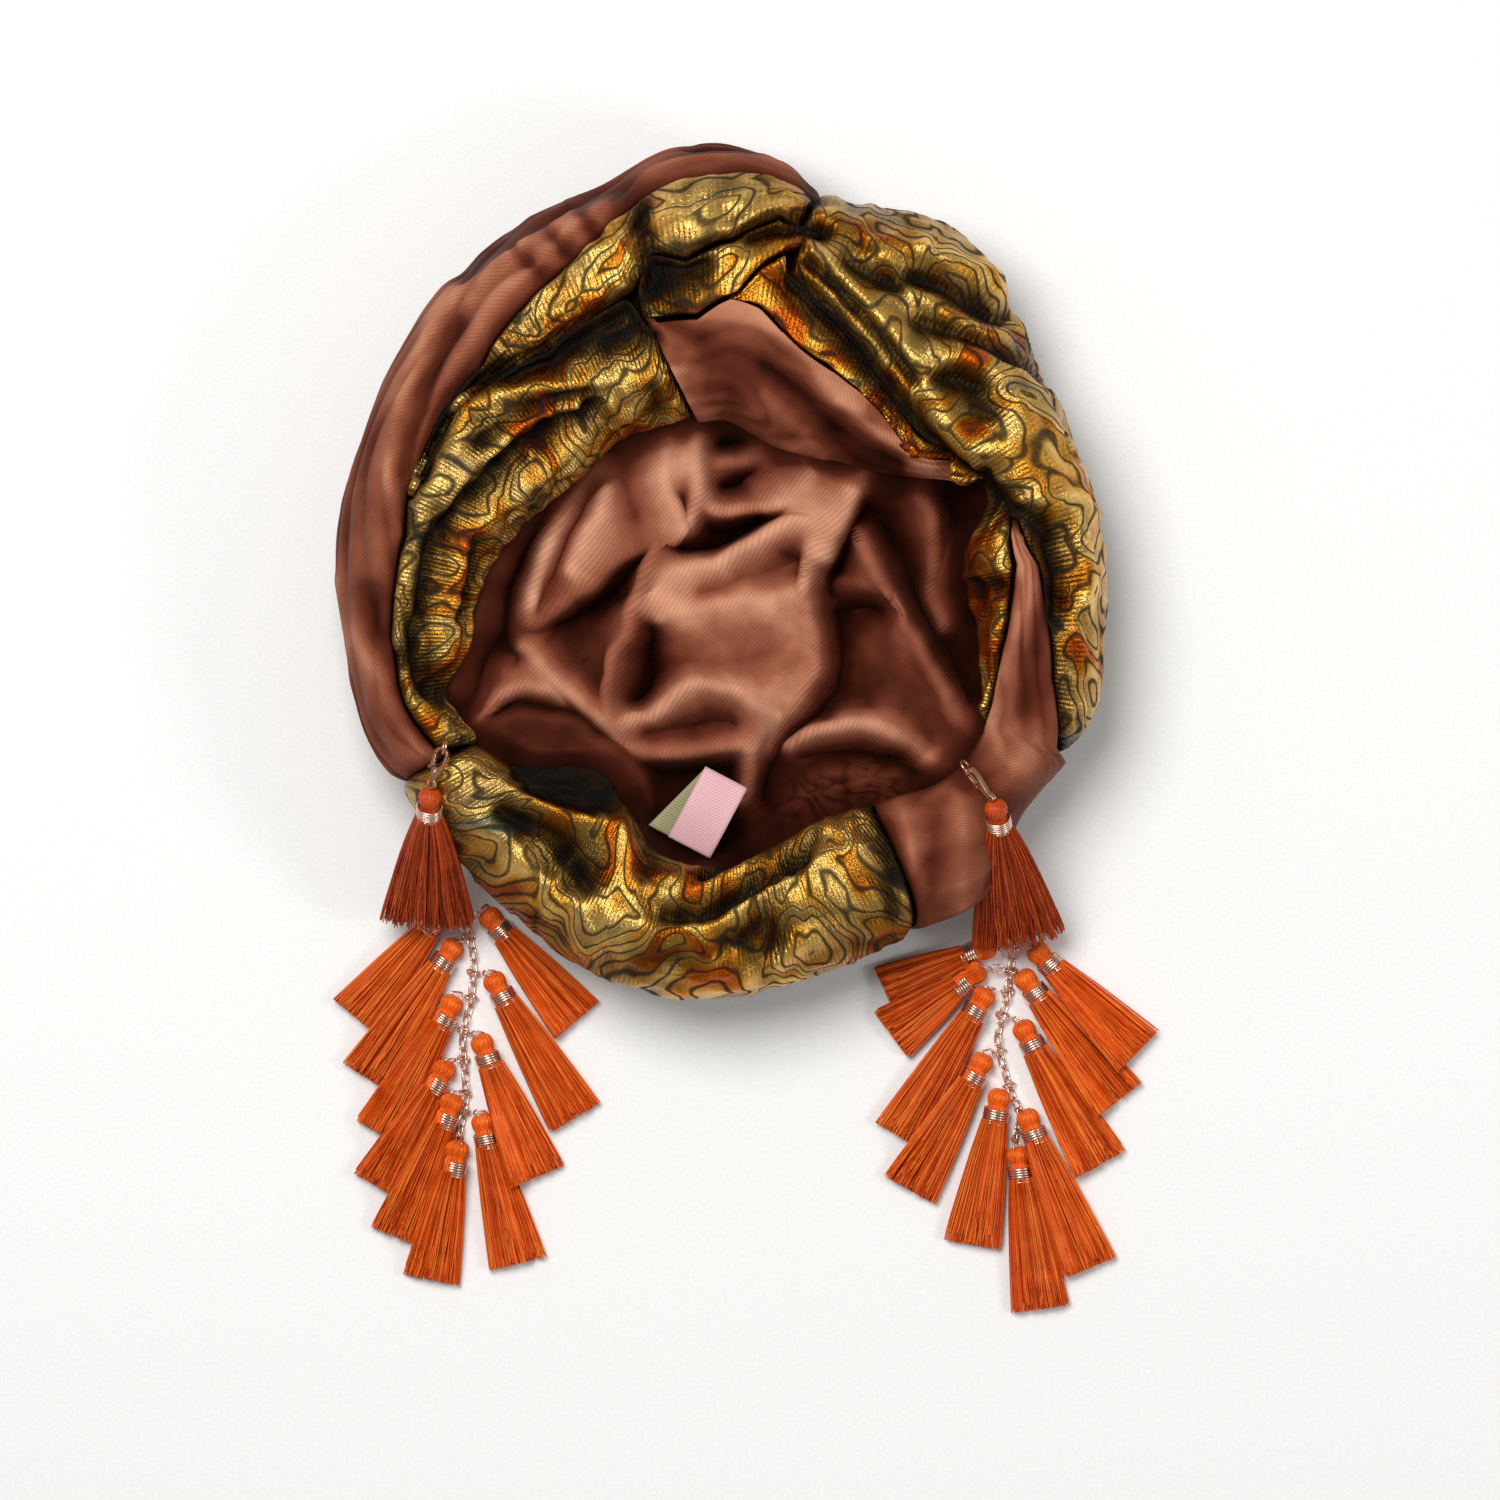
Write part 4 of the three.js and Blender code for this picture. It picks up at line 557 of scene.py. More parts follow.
# %% Lines of the ring
RING_SIZE = 160
RING_MARGIN = 6
RING_GROUND = (2.5, 0.42, 0, 0)
RING_LINES = [
    ("top pleat", 4, 0.70, [(-22, 142), (-10, 147), (0, 148), (13, 147), (22, 144), (27, 136)]),
    ("pleat shade", 1, 0.14, [(-10, 150), (6, 151), (18, 148), (26, 141), (29, 134)]),
    ("outer pleat", 4, 0.64, [(-6, 153), (6, 154), (16, 152), (24, 147), (29, 140)]),
    ("top velvet", 3, 0.45, [(-58, 128), (-38, 139), (-26, 144)]),
    ("long velvet shade", 1, 0.2, [(-78, 108), (-70, 117), (-58, 125), (-40, 135), (-28, 139)]),
    ("upper velvet streak", 5, 0.66, [(-74, 105), (-66, 114), (-54, 124), (-44, 130)]),
    ("velvet streak", 6, 0.84, [(-58, 122), (-70, 113), (-80, 105), (-87, 96), (-93, 80), (-98, 67),
        (-101, 54), (-100, 42)]),
    ("velvet inner shade", 1, 0.16, [(-79, 98), (-85, 88), (-90, 74), (-95, 61), (-97, 50)]),
    ("velvet body", 4, 0.46, [(-92, 96), (-102, 76), (-108, 52), (-112, 32)]),
    ("velvet hip", 5, 0.66, [(-102, 36), (-104, 26)]),
    ("lower velvet fold", 5, 0.78, [(-115, 18), (-112, 10), (-109, 0), (-104, -10), (-96, -24),
        (-91, -34)]),
    ("lower velvet shade", 1, 0.2, [(-108, 16), (-105, 3), (-101, -8)]),
    ("velvet tail", 4, 0.42, [(-112, -10), (-108, -24), (-102, -36)]),
    ("roll top", 5, 0.62, [(-13, 139), (0, 142), (13, 142), (22, 138), (31, 133)]),
    ("roll shine", 7, 1.0, [(-21, 128), (-16, 131), (-7, 131), (3, 127)]),
    ("roll eye", 5, 0.42, [(-12, 126), (-8, 126)]),
    ("roll rim", 4, 0.66, [(-19, 123), (-10, 119), (-2, 121), (5, 125)]),
    ("roll edge", 6, 0.86, [(6, 128), (16, 132), (26, 131), (33, 129)]),
    ("slit", -4, 0.0, [(8, 125), (18, 128), (27, 127), (33, 126)]),
    ("loop shine", 5, 0.95, [(-3, 107), (0, 113), (6, 119), (16, 122), (26, 123)]),
    ("loop foot", 4, 0.82, [(-8, 103), (-2, 104)]),
    ("loop shade", 1, 0.2, [(-18, 109), (-14, 104)]),
    ("black behind the loop", -4, 0.0, [(-22, 109), (-21, 117), (-12, 115), (-4, 118)]),
    ("pinch", -1, 0.04, [(-23, 134), (-23, 126), (-22, 119)]),
    ("first crinkle", 7, 1.0, [(-38, 129), (-32, 125), (-26, 117)]),
    ("first crinkle shade", 3, 0.25, [(-47, 133), (-42, 129), (-37, 124)]),
    ("second crinkle", 7, 0.95, [(-44, 124), (-38, 118), (-30, 110)]),
    ("second crinkle shade", 2, 0.2, [(-55, 127), (-50, 122), (-45, 118)]),
    ("third crinkle", 6, 0.9, [(-52, 117), (-44, 112), (-36, 106)]),
    ("third crinkle shade", 2, 0.2, [(-63, 119), (-58, 115), (-53, 111)]),
    ("fourth crinkle", 5, 0.85, [(-60, 108), (-52, 105), (-44, 102)]),
    ("roll back", 6, 0.88, [(-34, 132), (-45, 125), (-58, 113), (-70, 99), (-78, 88), (-86, 77),
        (-92, 64), (-96, 50)]),
    ("roll belly", 3, 0.4, [(-52, 97), (-60, 93), (-70, 88)]),
    ("great black valley", -5, 0.0, [(-26, 105), (-38, 98), (-51, 88), (-64, 83), (-77, 82), (-85, 74),
        (-89, 62), (-93, 50)]),
    ("black wedge", -4, 0.03, [(-20, 96), (-36, 92)]),
    ("first inner fold", 5, 0.9, [(-12, 87), (-19, 87), (-32, 86), (-45, 83), (-58, 81), (-70, 78),
        (-80, 73), (-84, 64), (-88, 54), (-93, 42), (-98, 29), (-100, 13), (-101, -3)]),
    ("first inner crease", 1, 0.12, [(-42, 80), (-54, 77), (-67, 70), (-77, 61)]),
    ("inner shine", 5, 1.0, [(-26, 84), (-31, 80), (-37, 78)]),
    ("second inner fold", 5, 0.88, [(-46, 77), (-58, 73), (-67, 67), (-75, 59), (-83, 50), (-88, 42)]),
    ("second black valley", -4, 0.0, [(-42, 74), (-51, 69), (-61, 63), (-70, 56), (-77, 48), (-85, 40),
        (-91, 30), (-94, 16), (-97, 3), (-96, -10), (-92, -20)]),
    ("third inner fold", 5, 0.92, [(-45, 69), (-51, 61), (-61, 54), (-70, 46), (-77, 40), (-84, 33),
        (-86, 22), (-88, 13), (-91, 0), (-91, -8)]),
    ("third inner side", 2, 0.5, [(-52, 54), (-60, 46), (-70, 37)]),
    ("third black valley", -1, 0.08, [(-80, 31), (-83, 19), (-87, 6)]),
    ("fourth inner fold", 3, 0.8, [(-76, 26), (-79, 16), (-83, 6), (-86, -5), (-86, -16)]),
    ("strip foot", 3, 0.72, [(-99, -14), (-94, -26)]),
    ("end knot", 4, 0.85, [(-17, 73), (-14, 80)]),
    ("end knot sage", 4, 0.7, [(-30, 73), (-24, 72)]),
    ("end knot shade", 1, 0.1, [(-22, 82), (-21, 76)]),
    ("end knot rim", 2, 0.6, [(-38, 70), (-26, 68), (-13, 70)]),
    ("flap edge", 4, 0.88, [(5, 107), (14, 101), (26, 90), (38, 78), (51, 67), (64, 59), (82, 51)]),
    ("flap shade", 0, 0.1, [(13, 88), (26, 78), (38, 67), (48, 61), (60, 56)]),
    ("flap streak", 4, 0.64, [(14, 80), (26, 69), (36, 61)]),
    ("flap middle", 2, 0.32, [(-6, 96), (2, 86), (4, 76)]),
    ("flap corner", 4, 0.66, [(-22, 101), (-17, 96), (-11, 84), (-4, 74)]),
    ("upper right roll", 7, 0.95, [(26, 123), (38, 112), (50, 101), (58, 92), (66, 82), (74, 69),
        (84, 55)]),
    ("roll crease", 1, 0.05, [(27, 117), (42, 104), (54, 92), (62, 81)]),
    ("lower right roll", 7, 0.88, [(22, 117), (35, 107), (46, 94), (58, 81), (69, 69), (80, 56)]),
    ("black under the rolls", -3, 0.0, [(22, 112), (34, 101), (45, 89), (54, 77), (64, 66), (76, 57)]),
    ("gold beside the flap", 4, 0.85, [(10, 110), (22, 102), (32, 94), (42, 85), (49, 76)]),
    ("thin gold", 3, 0.8, [(58, 66), (70, 58), (80, 53)]),
    ("black corner", -3, 0.02, [(40, 117), (48, 113), (56, 109)]),
    ("top plain", 4, 0.55, [(36, 127), (52, 126), (66, 124), (80, 117), (90, 108)]),
    ("first swirl", 7, 0.98, [(50, 119), (58, 120), (68, 118), (78, 112), (86, 107), (92, 101)]),
    ("first swirl hollow", -5, 0.0, [(60, 113), (70, 110), (80, 103), (87, 99)]),
    ("first swirl rim", 4, 0.74, [(58, 109), (67, 105), (76, 98), (85, 93), (92, 94), (95, 99)]),
    ("copper leaf", 3, 0.66, [(52, 108), (59, 103)]),
    ("dark sweep", -2, 0.04, [(62, 99), (74, 94), (84, 89), (92, 84), (99, 78)]),
    ("outer edge fold", 4, 0.7, [(97, 92), (102, 80)]),
    ("second swirl", 6, 0.7, [(62, 91), (72, 93), (83, 88), (92, 81), (98, 73), (99, 63)]),
    ("second swirl inside", 6, 0.96, [(66, 86), (75, 87), (85, 83), (91, 76), (93, 68), (90, 62)]),
    ("second swirl hollow", -4, 0.0, [(67, 81), (75, 81), (82, 78)]),
    ("eye", 3, 0.5, [(74, 75), (78, 69), (85, 65)]),
    ("eye shade", 0, 0.15, [(80, 74), (86, 70)]),
    ("gold under the eye", 5, 1.0, [(78, 63), (90, 58), (102, 61)]),
    ("broad gold", 6, 0.88, [(91, 52), (102, 50), (112, 51)]),
    ("broad gold foot", 6, 0.85, [(95, 44), (106, 41), (114, 36)]),
    ("black beside the strip", -2, 0.02, [(86, 55), (90, 46), (96, 39), (101, 33)]),
    ("tuck", -6, 0.0, [(103, 31), (106, 21), (106, 13), (105, 7)]),
    ("copper roll", 6, 0.9, [(110, 31), (112, 21), (109, 9)]),
    ("right side", 5, 0.74, [(108, 2), (112, -8), (111, -22)]),
    ("strip gold", 4, 0.9, [(86, 36), (88, 28), (91, 22)]),
    ("strip wedge", 0, 0.05, [(85, 18), (92, 17)]),
    ("strip lower", 2, 0.66, [(85, 12), (85, 0), (86, -14)]),
    ("band light", 4, 0.84, [(94, 36), (97, 24), (98, 12), (95, 0), (91, -13), (89, -26), (91, -40)]),
    ("band shade", 1, 0.3, [(102, 22), (101, 6), (99, -10), (97, -24)]),
    ("band edge", 4, 0.62, [(104, -2), (104, -19), (101, -36)]),
    ("band fold", 1, 0.28, [(86, -20), (80, -38), (80, -48)]),
    ("band inner light", 3, 0.7, [(83, -22), (76, -36)]),
    ("cuff light", 3, 0.78, [(59, -52), (61, -67), (58, -84)]),
    ("cuff shade", 0, 0.38, [(69, -56), (67, -72), (65, -86)]),
    ("second cuff light", 3, 0.72, [(77, -50), (76, -66), (73, -82)]),
    ("cuff edge", 2, 0.45, [(88, -52), (86, -68)]),
    ("back hollow", -7, 0.0, [(-66, -41), (-54, -44), (-42, -44), (-35, -49), (-40, -53), (-52, -50),
        (-60, -46)]),
    ("back ridge", 6, 0.86, [(-86, -39), (-77, -45), (-67, -50), (-58, -54), (-48, -58), (-38, -61),
        (-30, -61)]),
    ("black below the ridge", -3, 0.0, [(-70, -54), (-61, -58), (-52, -62), (-49, -68), (-45, -75),
        (-41, -79)]),
    ("great gold", 6, 1.0, [(-82, -48), (-77, -56), (-67, -62), (-61, -68), (-58, -76), (-51, -80),
        (-43, -84), (-34, -89), (-22, -92)]),
    ("outer left shade", 2, 0.3, [(-83, -58), (-75, -70), (-66, -80), (-52, -88)]),
    ("middle shade", 2, 0.4, [(-38, -69), (-37, -78)]),
    ("middle gold", 5, 0.9, [(-29, -67), (-29, -74), (-30, -82)]),
    ("middle crease", 1, 0.2, [(-24, -68), (-23, -78)]),
    ("middle body", 4, 0.72, [(-18, -72), (-8, -75), (0, -73)]),
    ("hem shade", 0, 0.12, [(-6, -79), (6, -74), (16, -67), (24, -60)]),
    ("long back fold", 5, 0.88, [(-22, -84), (-10, -84), (3, -79), (16, -72), (26, -65), (35, -57),
        (45, -52)]),
    ("long back crease", -3, 0.0, [(-18, -88), (-6, -89), (6, -84), (18, -77), (29, -70)]),
    ("second back fold", 5, 0.84, [(-14, -93), (0, -91), (13, -84), (23, -78)]),
    ("dark bay", -1, 0.06, [(6, -95), (15, -89), (18, -95)]),
    ("fan", 6, 0.95, [(25, -82), (30, -75), (38, -71), (49, -68)]),
    ("fan body", 5, 0.78, [(34, -82), (48, -80)]),
    ("fan foot", 5, 0.88, [(24, -92), (18, -101)]),
    ("fan hem", 3, 0.5, [(36, -92), (48, -91)]),
    ("fan end", 0, 0.14, [(53, -60), (54, -74), (53, -86)]),
    ("back bottom", 3, 0.5, [(-30, -98), (-16, -99), (-4, -98)]),
    ("bottom gold", 4, 0.84, [(-14, -106), (-2, -108), (10, -102)]),
]


def off_the_ring(x, y):
    """Whether places lie outside the cloth of the ring."""
    at = np.degrees(np.arctan2(y, x))
    radius = np.hypot(x, y)
    hem, outer, _, _ = rim_section(at)
    return (radius < hem - RING_MARGIN) | (radius > outer + RING_MARGIN)


ring_rows = [(name, tone, 0, [(x, y, high) for x, y in places])
             for name, high, tone, places in RING_LINES]
ring_relief = spanned_field(ring_rows, RING_SIZE, RING_GROUND, off_the_ring, 2)
print(len(RING_LINES), "lines on the ring")

# %% [markdown]
# A wrap takes its height and tone from the ring's relief, and adds its own small pleats, which run
# along it, and crinkles, which run across. A random field lets both fade and come back. The finest
# relief is the crush of the cloth itself, short and sharp in brocade and long and soft in velvet.
# Pleats, crinkles and crush paint their tone as well: painted shade in their valleys and painted
# highlights on their tops. Where two wraps meet, their edges dive into the valley and are painted
# darker there.

# %% Lift of a wrap off the ring
TUCK_SHARE = 0.10
TUCK_REACH = 4.5
PLEAT_FADE = 55.0
PLEAT_SCALE = 0.75
UNDER_RISE, UNDER_TONE = 2.0, 0.45
CRUSH_REACH = 6
CRUSH = {
    "brocade": dict(length=7, height=0.9, tone=0.12),
    "velvet": dict(length=26, height=0.3, tone=0.05),
}


def column(rows, at, which):
    """Value of a table's column at angles, level beyond its ends."""
    rows = np.asarray(rows, float)
    return np.interp(at, rows[:, AT], rows[:, which])


def border(parts, at):
    """Place across the ring of a border, whose table changes at given angles."""
    share = column(parts[-1][1], at, SHARE)
    for until, rows in reversed(parts[:-1]):
        share = np.where(at < until, column(rows, at, SHARE), share)
    return along(share)


def roll(phase):
    """A row of round rolls with sharp valleys, one for each unit of phase."""
    return 1 - (2 * (phase - np.floor(phase)) - 1) ** 2


def wrap_lift(wrap, at, place, across, part, run, seed):
    """Height of a wrap off the ring in millimetres, and its tone of painted light and shade."""
    spot = ring_point(at, np.minimum(place, 1), 0.0)
    relief = sample_field(ring_relief, RING_SIZE, spot[..., 0], spot[..., 1])
    edge = 1.0
    if not wrap.get("loose"):
        from_side = np.minimum(across, 1 - across) / TUCK_SHARE
        from_end = np.minimum(part, 1 - part) * (run.max() - run.min()) / TUCK_REACH
        edge = np.sqrt(np.clip(from_side, 0, 1) * np.clip(from_end, 0, 1))
    count, slant, pleat_high = wrap["pleats"]
    gap, crinkle_high = wrap["crinkle"]
    wander = 0.8 * soft_noise(run / 38, across * 2.2, seed)
    wander += 0.22 * soft_noise(run / 13, across * 5, seed + 1)
    pleats = roll(across * count + slant * run / 100 + wander)
    fade = 0.6 + 0.4 * soft_noise(run / PLEAT_FADE, across * count * 0.7, seed + 2)
    crease = roll(run / gap + 1.1 * soft_noise(run / gap, across * 4, seed + 3) + across * 0.7)
    broken = smooth_step(soft_noise(run / (1.6 * gap), across * 5, seed + 4), -0.5, 0.7)
    below = smooth_step(place, 0.95, 1.15)
    fine = PLEAT_SCALE * (pleat_high * fade * (pleats - 0.5) + crinkle_high * broken * (crease - 0.5))
    kind = CRUSH["velvet" if wrap["cloth"] == velvet else "brocade"]
    reach = place * section_length(at)
    crush = 1 - 2 * np.abs(soft_noise(run / kind["length"], reach / CRUSH_REACH, seed + 6))
    fine = (fine + kind["height"] * crush) * (1 + below)
    high = relief[..., HIGH_VALUE] * (1 - below) + UNDER_RISE * below
    tone = relief[..., TONE_VALUE] * (1 - below) + UNDER_TONE * below
    lift = SEAT_GAP + CLOTH_WALL + high * edge + fine * edge
    # Painted shade in pleat and crinkle valleys, painted highlight on their tops.
    tone = tone + 0.20 * fade * (pleats - 0.6) + 0.16 * broken * (crease - 0.6)
    # Painted highlight on the crush's ridges, painted shade in its creases.
    tone = tone + kind["tone"] * crush
    # Edges that dive into a valley are painted darker, as shade.
    return lift, np.clip(tone * (0.35 + 0.65 * edge), 0, 1)


print("a roll is", roll(0.0), "in its valley and", roll(0.5), "on its top")

# %% [markdown]
# A wrap is a grid that follows its borders. Its UV map is the cloth itself, laid flat in
# millimetres, so that the weave and the brocade's pattern bend with every fold. Lean moves the top
# of a fold sideways over its valley.

# %% Build the wraps
COLUMN_STEP = 0.6
ROW_STEP = 0.9
RUN_SHARE = 0.82


def build_wrap(wrap, seed):
    """One wrap. Its run is measured round the ring, at a share of the outline's radius."""
    (inner_from, outer_from), (inner_to, outer_to) = wrap["ends"]
    columns = int((max(inner_to, outer_to) - min(inner_from, outer_from)) / COLUMN_STEP) + 2
    middle = np.linspace(inner_from, inner_to, 40)
    widest = ((border(wrap["outer"], middle) - border(wrap["inner"], middle))
              * section_length(middle)).max()
    rows = int(widest / ROW_STEP) + 3
    part, across = np.meshgrid(np.linspace(0, 1, columns), np.linspace(0, 1, rows), indexing="ij")
    start = inner_from + (outer_from - inner_from) * across
    end = inner_to + (outer_to - inner_to) * across
    at = start + (end - start) * part
    inset = SEAT_GAP / 2 / section_length(at)
    inner, outer = border(wrap["inner"], at) + inset, border(wrap["outer"], at) - inset
    place = inner + (np.maximum(outer, inner + inset) - inner) * across
    run = np.radians(at) * OUTLINE_RADIUS * RUN_SHARE
    lift, ridge = wrap_lift(wrap, at, place, across, part, run, seed)
    shifted = place + wrap["lean"] * (lift - CLOTH_WALL) / section_length(at) * np.minimum(
        1, 4 * np.minimum(across, 1 - across))
    points = ring_point(at, shifted, lift)
    steps = np.linalg.norm(np.diff(points, axis=1), axis=-1)
    reach = np.concatenate([np.zeros((columns, 1)), np.cumsum(steps, axis=1)], axis=1)
    uv = np.stack([run, reach], -1)
    piece = cloth_mesh(wrap["node"] + "_cloth", points, grid_faces(columns, rows), wrap["cloth"],
                       uv, ridge)
    give_wall(piece, SHEET_WALL)
    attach(piece, "root")
    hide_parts(wrap["node"])
    return piece


print("wrap builder ready")

# %% [markdown]
# The cap is the velvet shell under the wraps. It rests flat on its crown, bulges out and rolls over
# the rim. From the top it only shows in the deepest valleys, but from below it is the whole crown,
# so it has soft gathers that run in to the middle.

# %% The cap
CAP_COLUMNS, CAP_ROWS = 240, 60
CAP_SINK = 6
CAP_WRINKLE = 0.6
CROWN_LIFT = 0.25
GATHERS, GATHER_HEIGHT = 26, 0.9


def build_cap():
    turn = np.linspace(0, 360, CAP_COLUMNS, endpoint=False)
    at, place = np.meshgrid(turn, np.linspace(0, 2, CAP_ROWS), indexing="ij")
    rest = smooth_step(place, 1.5, 2.0)
    gather = soft_noise(at / 360 * 64, place * 2, 71) * CAP_WRINKLE * (1 - rest)
    sunk = CAP_SINK * smooth_step(place, 0.0, 0.2) * (1 - smooth_step(place, 1.2, 1.6))
    points = ring_point(at, place, gather - CAP_WRINKLE - (1 - rest) * SEAT_GAP - sunk)
    points[..., 2] = np.maximum(points[..., 2], 0.0)
    uv = np.stack([np.radians(at) * REST_RADIUS, place * 90], -1)
    shares = np.linspace(1, 0, 24)[1:]
    inner = points[:, -1:, :] * np.array([1, 1, 0]) * shares[None, :, None]
    folds = np.abs(np.sin(np.radians(at[:, :1]) * GATHERS / 2 + soft_noise(shares * 3, shares, 5)))
    inner[..., 2] = CROWN_LIFT + GATHER_HEIGHT * folds * smooth_step(shares, 0.0, 0.4) * (
        1 - smooth_step(shares, 0.8, 1.0))
    crown_uv = np.stack([np.radians(at[:, :1]) * REST_RADIUS * np.ones_like(shares),
                         180 + (1 - shares) * REST_RADIUS * np.ones_like(at[:, :1])], -1)
    points = np.concatenate([points, inner], axis=1)
    uv = np.concatenate([uv, crown_uv], axis=1)
    faces = grid_faces(CAP_COLUMNS, points.shape[1], closed=True)
    # The cap's tone is held low, at 0.1: painted shade, as it shows only in the deepest valleys.
    piece = cloth_mesh("crown_shell_cap", points, faces, velvet, uv, np.full(points.shape[:2], 0.1))
    give_wall(weld(piece), SHEET_WALL)
    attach(piece, "root")
    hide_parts("crown_shell")
    return piece


cap = build_cap()
wrap_pieces = [build_wrap(wrap, 11 + 10 * number) for number, wrap in enumerate(WRAPS)]
for piece in wrap_pieces:
    print(piece.name, len(piece.data.polygons), "faces")

# %% [markdown]
# The lining is the deep dark middle of the picture. It is loose velvet pushed down into the crown,
# and its folds are what the eye reads first. Each line below is a ridge, a crease or the bottom of a
# hollow, as places in millimetres from the middle with a height. Tone is painted light and shade,
# from 0, a painted black shade, to 1, a painted glow. Lean rolls a ridge over to the left of its
# line.

